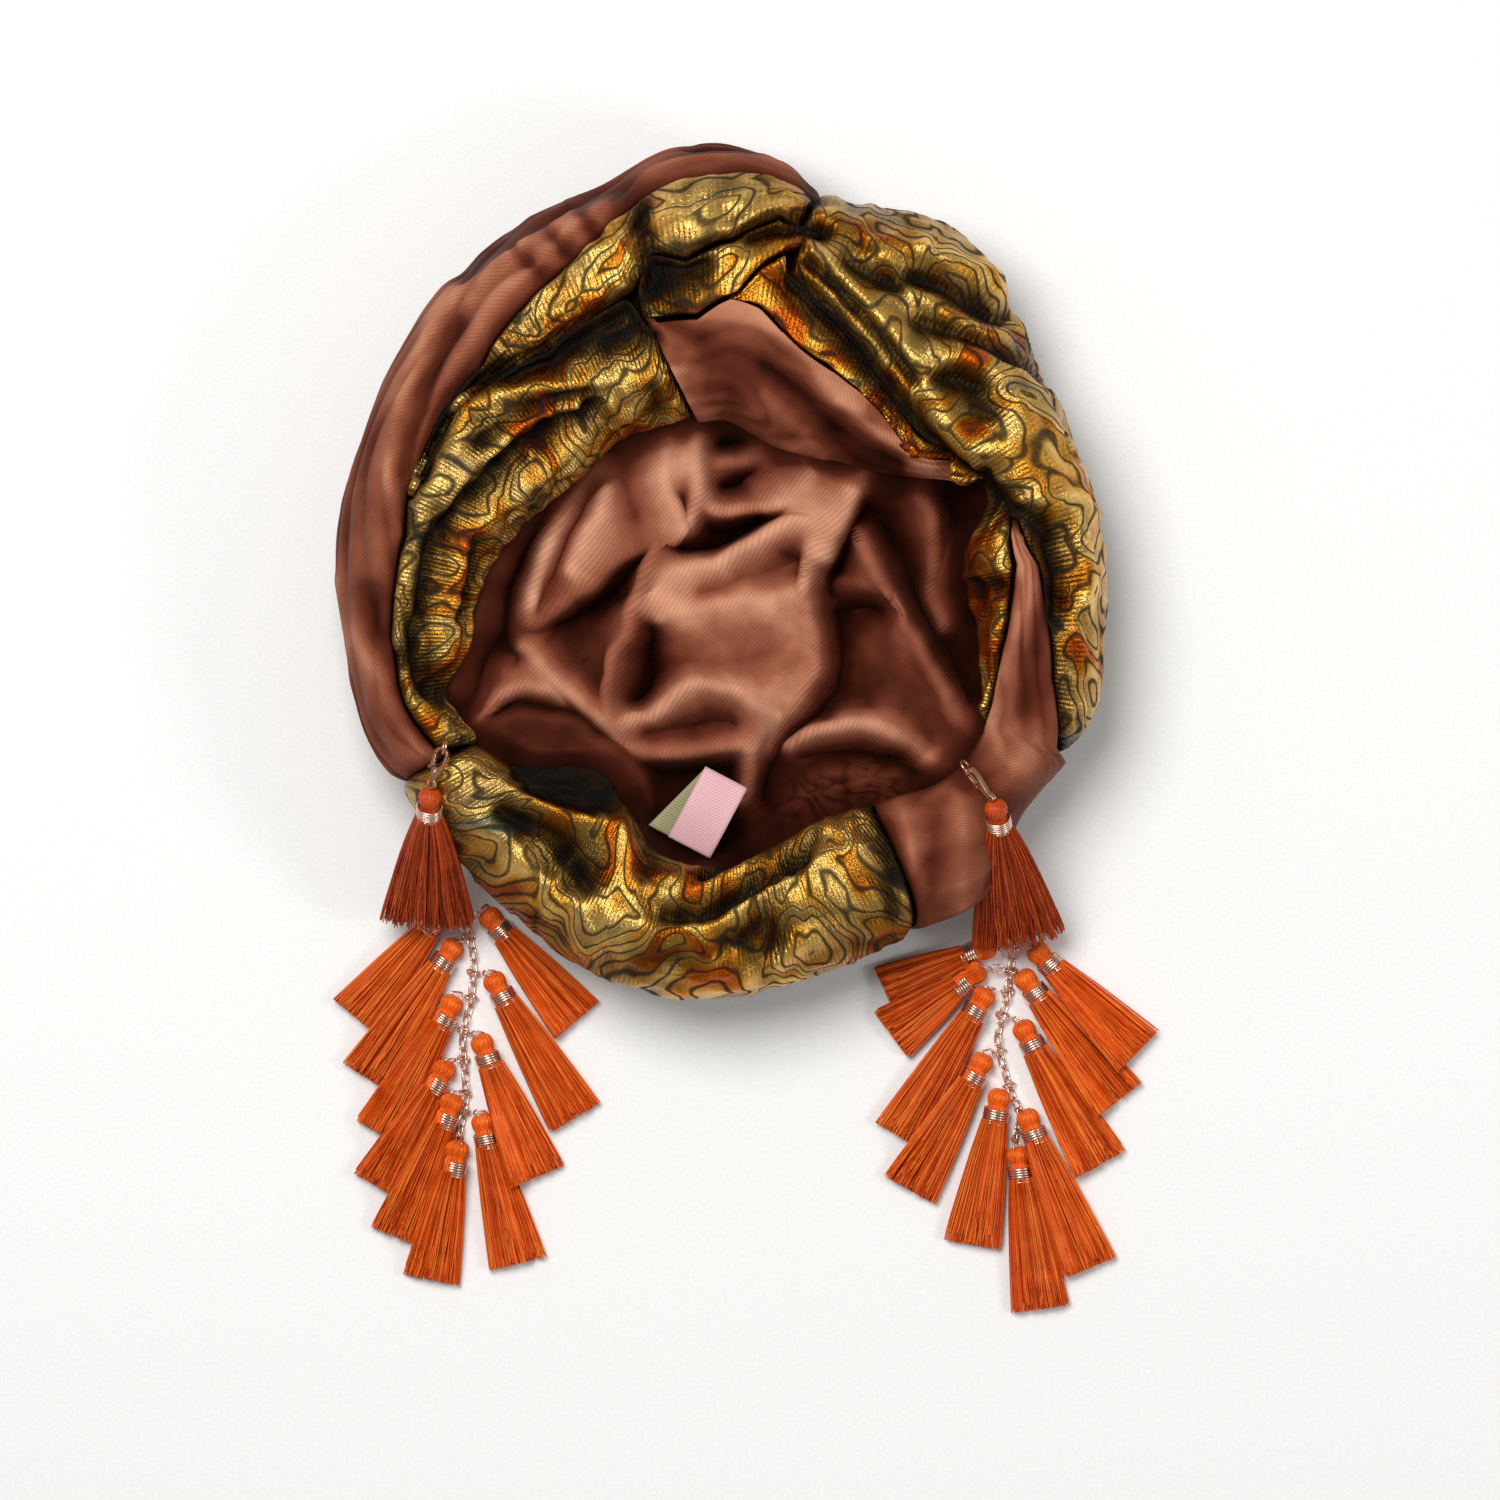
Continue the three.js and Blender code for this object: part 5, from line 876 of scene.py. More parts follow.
# %% Lines of the lining
FLOOR_HEIGHT = 22
LINING_SINK = 0.6
LINING_SIZE = 100
LINING_LINES = [
    ("great flap", 0.72, -4.5, [(-12, 32, 34), (-18, 26, 35), (-22, 16, 36), (-25, 3, 35),
        (-30, -8, 34), (-32, -16, 32), (-31, -24, 30), (-28, -31, 27)]),
    ("hollow beside the flap", 0, 0, [(-26, -20, 8), (-21, -16, 9), (-20, -10, 13), (-22, -3, 15),
        (-21, 5, 20)]),
    ("dark face of the flap", 0.24, 0, [(-51, -1, 24), (-42, -9, 26), (-36, -16, 27)]),
    ("lower left band", 0.86, -2, [(-62, 0, 30), (-51, -11, 30), (-38, -22, 29), (-29, -32, 26)]),
    ("leaf edge", 0.62, -2.5, [(-62, 7, 31), (-51, 13, 32), (-42, 19, 33), (-35, 26, 33),
        (-24, 32, 33), (-13, 33, 34)]),
    ("under the leaf", 0, 0, [(-53, 6, 21), (-43, 10, 16), (-34, 17, 13), (-27, 23, 14),
        (-20, 25, 19)]),
    ("leaf back", 0.98, 2, [(-38, 59, 36), (-46, 50, 37), (-53, 38, 36), (-59, 26, 35),
        (-62, 10, 31)]),
    ("leaf crease", 0.42, 0, [(-39, 51, 31), (-45, 42, 29), (-49, 29, 28), (-54, 18, 27),
        (-59, 9, 26)]),
    ("leaf belly", 0.95, -1, [(-35, 47, 35), (-41, 33, 35), (-47, 21, 33)]),
    ("valley left of the leaf", 0.1, 0, [(-55, 47, 19), (-62, 30, 14), (-67, 18, 13), (-68, 4, 14),
        (-65, -7, 17)]),
    ("left ridge", 0.72, 2, [(-60, 42, 32), (-67, 34, 34), (-74, 22, 34), (-78, 8, 34), (-83, -6, 33),
        (-86, -16, 30)]),
    ("left inner fold", 0.5, 1, [(-66, -6, 26), (-71, -14, 26), (-77, -23, 24)]),
    ("lower left fold", 0.8, 1.5, [(-77, -27, 26), (-70, -19, 29), (-63, -16, 30), (-55, -17, 29),
        (-49, -21, 25)]),
    ("crease under it", 0, 0, [(-73, -25, 20), (-64, -20, 19), (-55, -21, 19), (-45, -24, 19),
        (-36, -31, 17)]),
    ("dark roll", 0.36, 1.5, [(-82, -31, 27), (-70, -26, 29), (-58, -25, 30), (-45, -28, 30),
        (-36, -36, 28), (-27, -44, 26), (-24, -54, 22)]),
    ("bottom fold", 0.92, 2, [(-29, -26, 28), (-22, -26, 29), (-16, -21, 31), (-10, -17, 33),
        (-3, -16, 34), (5, -18, 34), (11, -23, 32), (19, -26, 28)]),
    ("under the bottom fold", 0.22, 0, [(-24, -30, 22), (-14, -28, 21), (-4, -26, 21), (6, -27, 22)]),
    ("lower rim", 0.78, -1.5, [(-28, -33, 26), (-24, -35, 26), (-13, -35, 27), (0, -33, 28),
        (8, -32, 28), (12, -35, 28), (11, -43, 25), (8, -52, 20)]),
    ("label pocket", 0, 0, [(-24, -41, 11), (-14, -42, 8), (-4, -40, 8), (5, -41, 10), (4, -52, 9),
        (-6, -56, 8), (-16, -60, 8)]),
    ("bright panel", 0.97, 3, [(-21, 13, 29), (-13, 19, 33), (0, 22, 35), (13, 29, 37), (22, 35, 38),
        (27, 35, 38)]),
    ("valley over the panel", 0.02, 0, [(-14, 29, 18), (-8, 27, 12), (6, 31, 10), (18, 38, 12)]),
    ("panel belly", 0.9, 0, [(-19, 6, 30), (-6, 10, 32), (10, 12, 32), (25, 15, 32)]),
    ("panel dip", 0.55, 0, [(-8, 15, 29), (8, 19, 29), (22, 24, 27)]),
    ("panel foot", 0.52, 0, [(-16, -3, 27), (-6, -8, 27), (8, -8, 28), (20, -4, 29)]),
    ("panel edge", 0.8, -2, [(29, 12, 31), (33, 0, 31), (32, -12, 31), (27, -20, 30), (21, -26, 27),
        (15, -34, 20)]),
    ("beside the panel", 0.05, 0, [(37, 9, 11), (39, -3, 14), (37, -17, 16), (30, -25, 17),
        (22, -33, 15), (16, -41, 12), (14, -52, 11)]),
    ("crinkle", 0.92, -1.5, [(31, 30, 37), (28, 23, 36), (27, 15, 34)]),
    ("crinkle dip", 0.2, 0, [(20, 27, 28), (26, 26, 27), (25, 20, 28)]),
    ("upper panel", 0.92, 1.5, [(-18, 66, 34), (-19, 51, 36), (-15, 39, 36), (-12, 34, 35)]),
    ("upper panel side", 0.9, -2, [(-7, 66, 34), (-5, 52, 36), (-7, 41, 35), (-9, 35, 34)]),
    ("small pocket", 0.06, 0, [(-12, 44, 22), (-11, 39, 25)]),
    ("upper dip", 0.45, 0, [(-28, 63, 27), (-31, 50, 29), (-26, 38, 30)]),
    ("deep pocket", 0, 0, [(2, 63, 6), (8, 65, 6)]),
    ("pocket fold", 0.7, 1, [(1, 55, 28), (6, 56, 30), (12, 59, 31), (15, 64, 29)]),
    ("second pocket", 0, 0, [(0, 49, 7), (7, 49, 8), (11, 52, 12)]),
    ("inner fold", 0.5, 1, [(9, 50, 24), (15, 53, 27), (26, 56, 28), (34, 59, 28)]),
    ("pocket rim", 0.84, -1.5, [(-4, 46, 32), (-1, 42, 33), (6, 42, 33), (16, 43, 34), (25, 47, 34),
        (28, 53, 33), (27, 59, 30)]),
    ("slit", 0.02, 0, [(-4, 36, 14), (6, 36, 11), (13, 40, 13)]),
    ("bright fold", 0.94, 3, [(47, 56, 36), (43, 50, 38), (38, 42, 39), (34, 34, 39), (32, 26, 37)]),
    ("beside the bright fold", 0.04, 0, [(47, 45, 20), (41, 33, 15), (37, 22, 12), (35, 14, 11)]),
    ("long ridge", 0.7, -2.5, [(43, 37, 31), (50, 25, 35), (58, 10, 35), (67, -4, 34), (74, -16, 33),
        (79, -28, 30)]),
    ("valley behind the long ridge", 0.03, 0, [(50, 41, 17), (58, 27, 14), (65, 11, 13), (73, -5, 14),
        (80, -21, 17)]),
    ("curved ridge", 0.6, -1.5, [(63, 50, 30), (69, 38, 32), (70, 26, 32), (68, 14, 29), (73, 4, 27)]),
    ("dark right wall", 0.08, 0, [(72, 46, 20), (77, 26, 20), (79, 6, 21)]),
    ("overhang", 0.55, 1.5, [(36, 17, 26), (45, 16, 31), (53, 14, 32), (58, 8, 32)]),
    ("hollow under it", 0, 0, [(38, 9, 12), (44, 11, 19), (52, 9, 17)]),
    ("right panel", 0.36, 0, [(45, 0, 25), (52, -12, 27), (60, -23, 27)]),
    ("right panel side", 0.26, 0, [(43, -12, 23), (47, -22, 24)]),
    ("lower right ridge", 0.9, 2, [(22, -35, 23), (29, -30, 28), (42, -28, 31), (51, -30, 31),
        (61, -35, 28), (68, -41, 24)]),
    ("crease below it", 0.03, 0, [(26, -37, 17), (42, -35, 18), (54, -38, 18), (63, -43, 17)]),
    ("lower dark body", 0.34, 0, [(30, -44, 24), (42, -42, 27), (56, -44, 26)]),
    ("dark face, upper", 0.16, 0, [(-55, 0, 24), (-46, 4, 19), (-36, 8, 18), (-28, 14, 18)]),
    ("dark face, lower", 0.3, 0, [(-47, -8, 27), (-38, -2, 26), (-33, -12, 28)]),
    ("right panel, left", 0.22, 0, [(42, 4, 20), (43, -8, 22), (40, -20, 22), (34, -26, 22)]),
    ("right panel, middle", 0.36, 0, [(50, 2, 26), (54, -10, 27), (62, -22, 28), (68, -33, 27)]),
    ("right panel, edge", 0.42, 0, [(62, -8, 30), (69, -18, 30), (75, -30, 28)]),
    ("right wall shade", 0.1, 0, [(80, -8, 22), (82, 4, 24), (82, 22, 24), (80, 40, 24)]),
    ("left wall shade", 0.2, 0, [(-72, 2, 20), (-76, -8, 22), (-82, -22, 24)]),
    ("upper left shade", 0.12, 0, [(-46, 60, 22), (-54, 50, 20)]),
    ("gathers", 0.2, 0, [(20, -54, 20), (34, -52, 22), (48, -50, 24)]),
]
print(len(LINING_LINES), "lines in the lining")

# %% [markdown]
# The lining is a grid in rings round the middle of the opening. It takes its height from its lines,
# and near the rim it climbs to the hem. Lean pulls each ridge sideways over its hollow. At the back,
# elastic has shirred it into small gathers.

# %% Shape of the lining
LINING_COLUMNS, LINING_ROWS = 330, 140
GATHER_GAP = 4.2


def inside_wall(x, y):
    """Whether places lie outside the opening, in the cloth of the ring."""
    return np.hypot(x, y) > rim_section(np.degrees(np.arctan2(y, x)))[0]


def settle(points, rounds, amount=0.5):
    """Smooths a closed ring grid, with its hem kept where it is."""
    for _ in range(rounds):
        mean = (np.roll(points, 1, axis=0) + np.roll(points, -1, axis=0)) / 2
        across = points.copy()
        across[:, 1:-1] = (points[:, :-2] + points[:, 2:]) / 2
        points[:, 1:-1] += amount * ((mean + across) / 2 - points)[:, 1:-1]
    return points


def build_lining():
    turn = np.linspace(0, 360, LINING_COLUMNS, endpoint=False)
    at, share = np.meshgrid(turn, np.linspace(0, 1, LINING_ROWS) ** 0.8, indexing="ij")
    hem = rim_section(at)[0] - SEAT_GAP
    x = share * hem * np.cos(np.radians(at))
    y = share * hem * np.sin(np.radians(at))
    relief = spanned_field(LINING_LINES, LINING_SIZE, (FLOOR_HEIGHT, 0.2, 0, 0), inside_wall, 3)
    field = sample_field(relief, LINING_SIZE, x + soft_noise(x / 8 + 20, y / 8 + 20, 31),
                         y + soft_noise(x / 8 + 20, y / 8 + 20, 32))
    wall = smooth_step(share, 0.82, 1.01) ** 1.4
    wrinkle = 0.5 * soft_noise(x / 7 + 30, y / 7 + 30, 35) + 0.25 * soft_noise(x / 3, y / 3, 36)
    shirred = smooth_step(share, 0.70, 0.84) * smooth_step(at, 285, 293) * smooth_step(-at, -328, -318)
    gather = 1.6 * shirred * (roll(np.radians(at) * hem / GATHER_GAP
                                   + 0.8 * soft_noise(share * 22, at / 6, 37)) - 0.4)
    floor = field[..., HIGH_VALUE] + wrinkle + gather
    hem_z = ring_point(at, np.zeros_like(at), 0.0)[..., 2]
    z = floor + (np.maximum(floor, hem_z - LINING_SINK) - floor) * wall
    calm = 1 - smooth_step(share, 0.85, 1.0)
    points = np.stack([x + field[..., PULL_X] * calm, y + field[..., PULL_Y] * calm, z], -1)
    # Painted shade darkens the tone towards the hem, under the rim; gather tops get painted highlights.
    tone = field[..., TONE_VALUE] * (1 - 0.5 * smooth_step(share, 0.86, 1.0)) + 0.12 * gather
    return settle(points, 1), np.stack([x, y], -1), np.clip(tone, 0, 1)


lining_points, lining_uv, lining_painted_tone = build_lining()
lining = cloth_mesh("crown_lining_velvet", lining_points,
                    grid_faces(LINING_COLUMNS, LINING_ROWS, closed=True), lining_velvet,
                    lining_uv, lining_painted_tone)
give_wall(weld(lining, turned=True), LINING_WALL)
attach(lining, "root")
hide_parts("crown_lining")

# %% [markdown]
# The tassels are made of rayon floss: hundreds of fine bright threads that hang straight and catch
# the light one by one. The dye is a strong orange, and the two top tassels are a darker rust. Each
# thread has its own shade, which a stored random value gives it.

# %% Floss, wire, ribbon


def rayon_floss(name, dark, middle, light):
    material, tree, shader = bare_material(name)
    maths = maths_of(tree)
    thread = add_node(tree, "ShaderNodeAttribute", attribute_name="thread").outputs["Fac"]
    place = add_node(tree, "ShaderNodeTexCoord").outputs["Object"]
    patch = add_node(tree, "ShaderNodeTexNoise", {"Vector": place, "Scale": 160.0, "Detail": 2.0})
    shade = maths("ADD", maths("MULTIPLY", thread, 0.75),
                  maths("MULTIPLY", maths("SUBTRACT", patch.outputs[0], 0.32), 0.5))
    tree.links.new(ramp(tree, shade, [(0.0, dark), (0.45, middle), (1.0, light)]),
                   shader.inputs["Base Color"])
    shader.inputs["Roughness"].default_value = 0.42
    shader.inputs["Specular IOR Level"].default_value = 0.25
    return material


def rose_gold_wire(name, colour, roughness):
    """Copper and gold alloy, drawn as wire and plated: a warm mirror with faint wear."""
    material, tree, shader = bare_material(name)
    place = add_node(tree, "ShaderNodeTexCoord").outputs["Object"]
    wear = add_node(tree, "ShaderNodeTexNoise", {"Vector": place, "Scale": 900.0, "Detail": 3.0})
    dull = add_node(tree, "ShaderNodeMapRange",
                    {"Value": wear.outputs[0], "To Min": roughness - 0.08,
                     "To Max": roughness + 0.12}).outputs[0]
    tree.links.new(dull, shader.inputs["Roughness"])
    shader.inputs["Base Color"].default_value = linear(colour)
    shader.inputs["Metallic"].default_value = 1.0
    return material


def woven_ribbon(name, colour, shadow):
    """A flat woven label ribbon: fine cross threads that dull its satin face."""
    material, tree, shader = bare_material(name)
    cloth = add_node(tree, "ShaderNodeUVMap", uv_map="cloth").outputs[0]
    weave = add_node(tree, "ShaderNodeTexWave",
                     {"Vector": cloth, "Scale": WAVE_PERIOD / 0.9}, bands_direction="Y").outputs["Fac"]
    tree.links.new(ramp(tree, weave, [(0.0, shadow), (0.6, colour)]), shader.inputs["Base Color"])
    bump = add_node(tree, "ShaderNodeBump", {"Strength": 0.4, "Distance": 0.1 * MM, "Height": weave})
    tree.links.new(bump.outputs[0], shader.inputs["Normal"])
    shader.inputs["Roughness"].default_value = 0.55
    shader.inputs["Sheen Weight"].default_value = 0.3
    return material


orange_floss = rayon_floss("orange_rayon_floss", "#ac3200", "#e85806", "#ff9038")
rust_floss = rayon_floss("rust_rayon_floss", "#741c02", "#b43a08", "#e46a26")
rose_wire = rose_gold_wire("rose_gold_wire", "#ecc8b4", 0.24)
rose_plate = rose_gold_wire("rose_gold_plate", "#d8a988", 0.2)
pink_ribbon = woven_ribbon("pink_label_ribbon", "#e6b6ba", "#cf9a9e")
sage_ribbon = woven_ribbon("sage_label_back", "#a39c70", "#857f58")
print("small finishes:", [kind.name for kind in (orange_floss, rust_floss, rose_wire, rose_plate)])

# %% [markdown]
# A drop is a jump ring on the rim, a small clasp, a top tassel, and a chain that carries ten small
# tassels. They lie on the table like shingles. Heads and ends are places along the drop, as shares
# of its length from the jump ring.

# %% Sizes and places of the drops
DROP_LENGTH = 173
HEAD_RADIUS, HEAD_LENGTH = 3.7, 6.2
BAND_RADIUS, BAND_LENGTH = 4.2, 5.8
SKIRT_WIDTH, SKIRT_DEPTH = 19, 4.6
TOP_WIDTH, TOP_DEPTH = 31, 9
JUMP_RADIUS, JUMP_WIRE = 2.3, 0.8
EYE_WIDTH, EYE_LENGTH = 3.4, 5.8
CLASP_WALL, CLASP_LENGTH = 0.9, 14
CLASP_TIP, HANG_RISE = 1.5, 1.1
LOOP_RADIUS = 1.6
CHAIN_RISE = 1.6
NECK = HEAD_LENGTH + BAND_LENGTH
DROPS = [
    dict(name="left", hang_at=201.5, roll=28, top_head=(-0.031, -0.093), top_end=(-0.036, -0.322),
         chain=[[0.021, -0.300], [0.036, -0.345], [0.046, -0.392], [0.041, -0.468],
                [0.026, -0.541], [0.031, -0.612], [0.030, -0.660], [0.020, -0.712]],
         low=[[1, 0.002, -0.292, -0.172, -0.501], [2, 0.017, -0.357, -0.150, -0.614],
              [3, 0.015, -0.460, -0.126, -0.716], [4, 0.002, -0.580, -0.129, -0.815],
              [5, 0.013, -0.641, -0.094, -0.908], [6, 0.020, -0.726, -0.031, -0.986]],
         high=[[7, 0.065, -0.301, 0.238, -0.506], [8, 0.076, -0.418, 0.235, -0.686],
               [9, 0.055, -0.531, 0.165, -0.795], [10, 0.059, -0.677, 0.129, -0.956]]),
    dict(name="right", hang_at=332.5, roll=62, top_head=(0.068, -0.083), top_end=(0.102, -0.320),
         chain=[[0.096, -0.297], [0.092, -0.350], [0.080, -0.433], [0.065, -0.506],
                [0.080, -0.571], [0.092, -0.608], [0.107, -0.645], [0.098, -0.682]],
         low=[[1, 0.060, -0.328, -0.142, -0.421], [2, 0.040, -0.370, -0.133, -0.497],
              [3, 0.048, -0.410, -0.116, -0.686], [4, 0.044, -0.531, -0.098, -0.784],
              [5, 0.070, -0.595, 0.017, -0.885], [6, 0.100, -0.702, 0.144, -1.004]],
         high=[[7, 0.126, -0.331, 0.325, -0.527], [8, 0.104, -0.379, 0.290, -0.617],
               [9, 0.104, -0.471, 0.255, -0.737], [10, 0.113, -0.634, 0.235, -0.928]]),
]


def tassel_size(distance, length):
    """Half width and full depth of a small tassel at distances from the top of its head."""
    head_round = 0.45 * HEAD_LENGTH
    off = np.clip((distance - head_round) / (HEAD_LENGTH - head_round), 0, 1)
    cap = np.clip((head_round - distance) / head_round, 0, 1)
    head = HEAD_RADIUS * np.sqrt(np.maximum(0.06, 1 - 0.45 * off ** 2 - 0.9 * cap ** 2))
    part = np.clip((distance - NECK) / (length - NECK), 0, 1)
    half = BAND_RADIUS + (SKIRT_WIDTH / 2 - BAND_RADIUS) * part ** 0.8
    depth = 1.7 * BAND_RADIUS + (SKIRT_DEPTH - 1.7 * BAND_RADIUS) * part ** 0.6
    in_head, in_band = distance < HEAD_LENGTH, distance < NECK
    half = np.where(in_head, head, np.where(in_band, BAND_RADIUS, half))
    depth = np.where(in_head, 2 * head, np.where(in_band, 2 * BAND_RADIUS, depth))
    return half, depth


def pile_height(laid, x, y):
    """Height of the tassels already laid at places on the table."""
    height = np.zeros(np.shape(x))
    for tassel in laid:
        dx, dy = x - tassel["head"][0], y - tassel["head"][1]
        distance = dx * tassel["ahead"][0] + dy * tassel["ahead"][1]
        aside = dy * tassel["ahead"][0] - dx * tassel["ahead"][1]
        half, depth = tassel_size(np.maximum(0, distance), tassel["length"])
        off = np.abs(aside) / (half + 1)
        inside = (off < 1) & (distance > -1) & (distance < tassel["length"] + 1)
        height += np.where(inside, SEAT_GAP + depth * np.sqrt(np.clip(1 - off * off, 0, 1)), 0)
    return height


def soft_pile(laid, x, y, spread=1.8):
    """Height of the pile, eased as threads bridge its steps."""
    steps = [(dx * spread, dy * spread) for dx in (-1, 0, 1) for dy in (-1, 0, 1)]
    return np.mean([pile_height(laid, x + dx, y + dy) for dx, dy in steps], axis=0)


print(sum(len(drop["low"]) + len(drop["high"]) for drop in DROPS), "small tassels")

# %% [markdown]
# A tassel's skirt starts as a guide: a tube round the band that fans out flat on whatever lies
# beneath it. Its UV map runs round and along, and an attribute holds its middle line. Geometry Nodes
# then lay each thread at a random place round the guide and at a random depth in it, from the band
# to the cut end. The head is a body of its own, grooved by the threads folded over it.

# %% The node tree that lays threads on a guide


def tree_with_inputs(name, inputs):
    """A geometry tree with its named inputs, and its group input and output nodes."""
    tree = bpy.data.node_groups.new(name, "GeometryNodeTree")
    tree.interface.new_socket("Geometry", in_out="INPUT", socket_type="NodeSocketGeometry")
    for label, kind, value in inputs:
        socket = tree.interface.new_socket(label, in_out="INPUT", socket_type=kind)
        if value is not None:
            socket.default_value = value
    tree.interface.new_socket("Geometry", in_out="OUTPUT", socket_type="NodeSocketGeometry")
    return tree, tree.nodes.new("NodeGroupInput"), tree.nodes.new("NodeGroupOutput")


def thread_laying_tree():
    tree, given, made = tree_with_inputs("tassel_threads", [
        ("Threads", "NodeSocketInt", 400), ("Thread radius", "NodeSocketFloat", 0.2 * MM),
        ("Sway", "NodeSocketFloat", 0.03), ("Ragged", "NodeSocketFloat", 0.1),
        ("Seed", "NodeSocketInt", 1), ("Floss", "NodeSocketMaterial", None)])
    maths = maths_of(tree)
    split = add_node(tree, "GeometryNodeSeparateGeometry", {
        "Geometry": given.outputs["Geometry"],
        "Selection": add_node(tree, "GeometryNodeInputNamedAttribute", {"Name": "guide"},
                              data_type="BOOLEAN").outputs[0]})
    guide, head = split.outputs[0], split.outputs[1]
    line = add_node(tree, "GeometryNodeCurvePrimitiveLine", {"End": (0, 0, 1)})
    line = add_node(tree, "GeometryNodeResampleCurve", {"Curve": line.outputs[0], "Count": 9})
    starts = add_node(tree, "GeometryNodePoints", {"Count": given.outputs["Threads"]})
    threads = add_node(tree, "GeometryNodeInstanceOnPoints",
                       {"Points": starts.outputs[0], "Instance": line.outputs[0]})
    threads = add_node(tree, "GeometryNodeRealizeInstances", {"Geometry": threads.outputs[0]})
    number = add_node(tree, "GeometryNodeCurveOfPoint").outputs["Curve Index"]
    part = add_node(tree, "GeometryNodeSplineParameter").outputs["Factor"]

    def chance(low, high, shift):
        seed = maths("ADD", given.outputs["Seed"], shift)
        return add_node(tree, "FunctionNodeRandomValue", {2: low, 3: high, 7: number, 8: seed},
                        data_type="FLOAT").outputs[1]

    where = add_node(tree, "ShaderNodeCombineXYZ", {
        "X": maths("MULTIPLY", number, 0.173), "Y": maths("MULTIPLY", part, 1.6),
        "Z": maths("MULTIPLY", given.outputs["Seed"], 0.71)})
    drift = add_node(tree, "ShaderNodeTexNoise", {"Vector": where.outputs[0], "Scale": 1.0})
    sway = maths("MULTIPLY", maths("MULTIPLY", maths("SUBTRACT", drift.outputs[0], 0.5), part),
                 given.outputs["Sway"])
    around = maths("PINGPONG", maths("ADD", chance(0.0, 1.0, 11), sway), 0.999)
    short = maths("MULTIPLY", maths("POWER", chance(0.0, 1.0, 23), 2.0), given.outputs["Ragged"])
    reach = maths("MULTIPLY", part, maths("SUBTRACT", 1.0, short))
    depth = maths("POWER", chance(0.04, 1.0, 37), 0.42)
    sample = add_node(tree, "ShaderNodeCombineXYZ", {"X": around, "Y": reach}).outputs[0]
    layout = add_node(tree, "GeometryNodeInputNamedAttribute", {"Name": "cloth"},
                      data_type="FLOAT_VECTOR").outputs[0]
    place = add_node(tree, "GeometryNodeInputPosition").outputs[0]
    middle = add_node(tree, "GeometryNodeInputNamedAttribute", {"Name": "middle"},
                      data_type="FLOAT_VECTOR").outputs[0]
    outside, inside = (add_node(tree, "GeometryNodeSampleUVSurface",
                                {0: guide, 1: value, 2: layout, 3: sample},
                                data_type="FLOAT_VECTOR").outputs[0] for value in (place, middle))
    spot = add_node(tree, "ShaderNodeMix", {0: depth, 4: inside, 5: outside}, data_type="VECTOR")
    threads = add_node(tree, "GeometryNodeSetPosition",
                       {"Geometry": threads.outputs[0], "Position": spot.outputs[1]})
    threads = add_node(tree, "GeometryNodeStoreNamedAttribute",
                       {"Geometry": threads.outputs[0], "Name": "thread", "Value": chance(0.0, 1.0, 51)},
                       data_type="FLOAT", domain="POINT")
    section = add_node(tree, "GeometryNodeCurvePrimitiveCircle",
                       {"Resolution": 3, "Radius": given.outputs["Thread radius"]})
    body = add_node(tree, "GeometryNodeCurveToMesh",
                    {"Curve": threads.outputs[0], "Profile Curve": section.outputs[0],
                     "Fill Caps": True})
    join = add_node(tree, "GeometryNodeJoinGeometry", {"Geometry": body.outputs[0]})
    tree.links.new(head, join.inputs[0])
    solid = add_node(tree, "GeometryNodeRealizeInstances", {"Geometry": join.outputs[0]})
    coloured = add_node(tree, "GeometryNodeSetMaterial",
                        {"Geometry": solid.outputs[0], "Material": given.outputs["Floss"]})
    tree.links.new(coloured.outputs[0], made.inputs[0])
    return tree


def grow(piece, tree, **sizes):
    """Runs a tree on a piece with its named inputs, and leaves a plain mesh."""
    modifier = piece.modifiers.new(tree.name, "NODES")
    modifier.node_group = tree
    for socket in tree.interface.items_tree:
        key = socket.name.lower().replace(" ", "_")
        if socket.in_out == "INPUT" and key in sizes:
            modifier[socket.identifier] = sizes[key]
    graph = bpy.context.evaluated_depsgraph_get()
    mesh = bpy.data.meshes.new_from_object(piece.evaluated_get(graph), depsgraph=graph)
    piece.modifiers.remove(modifier)
    rough = piece.data
    piece.data = mesh
    bpy.data.meshes.remove(rough)
    mesh.name = piece.name
    mesh.shade_smooth()
    return piece


laying_tree = thread_laying_tree()
print("thread tree:", len(laying_tree.nodes), "nodes")

# %% [markdown]
# The guide and the head of a tassel are rings of points. A small tassel's rings ride over the pile
# below them; the top tassel hangs from its clasp down to the table, so its rings stand square to its
# own axis.

# %% Guides and heads
GUIDE_ROWS, GUIDE_AROUND = 18, 33
HEAD_ROWS, HEAD_AROUND = 14, 72
HEAD_GROOVES, GROOVE_DEPTH = 18, 0.07
NECK_SHARE = 0.78
GUIDE_OVERLAP = 1.5
GUIDE_TURNS = np.linspace(0, 2 * np.pi, GUIDE_AROUND)
HEAD_TURNS = np.linspace(0, 2 * np.pi, HEAD_AROUND, endpoint=False)
HEAD_STATIONS = np.linspace(0.15, NECK - 1.0, HEAD_ROWS)


def guide_stations(length):
    """Distances of the guide's rows from the top of the head, starting under the band."""
    return NECK - GUIDE_OVERLAP + (length - NECK + GUIDE_OVERLAP) * np.linspace(0, 1, GUIDE_ROWS)


def grooved(distance, turn, groove):
    """Share of the radius that the grooves between folded threads leave, drawn in at the neck."""
    rib = 1 - groove * np.abs(np.sin(turn * HEAD_GROOVES / 2))
    return rib * np.where((distance > HEAD_LENGTH) & (groove > 0), NECK_SHARE, 1)


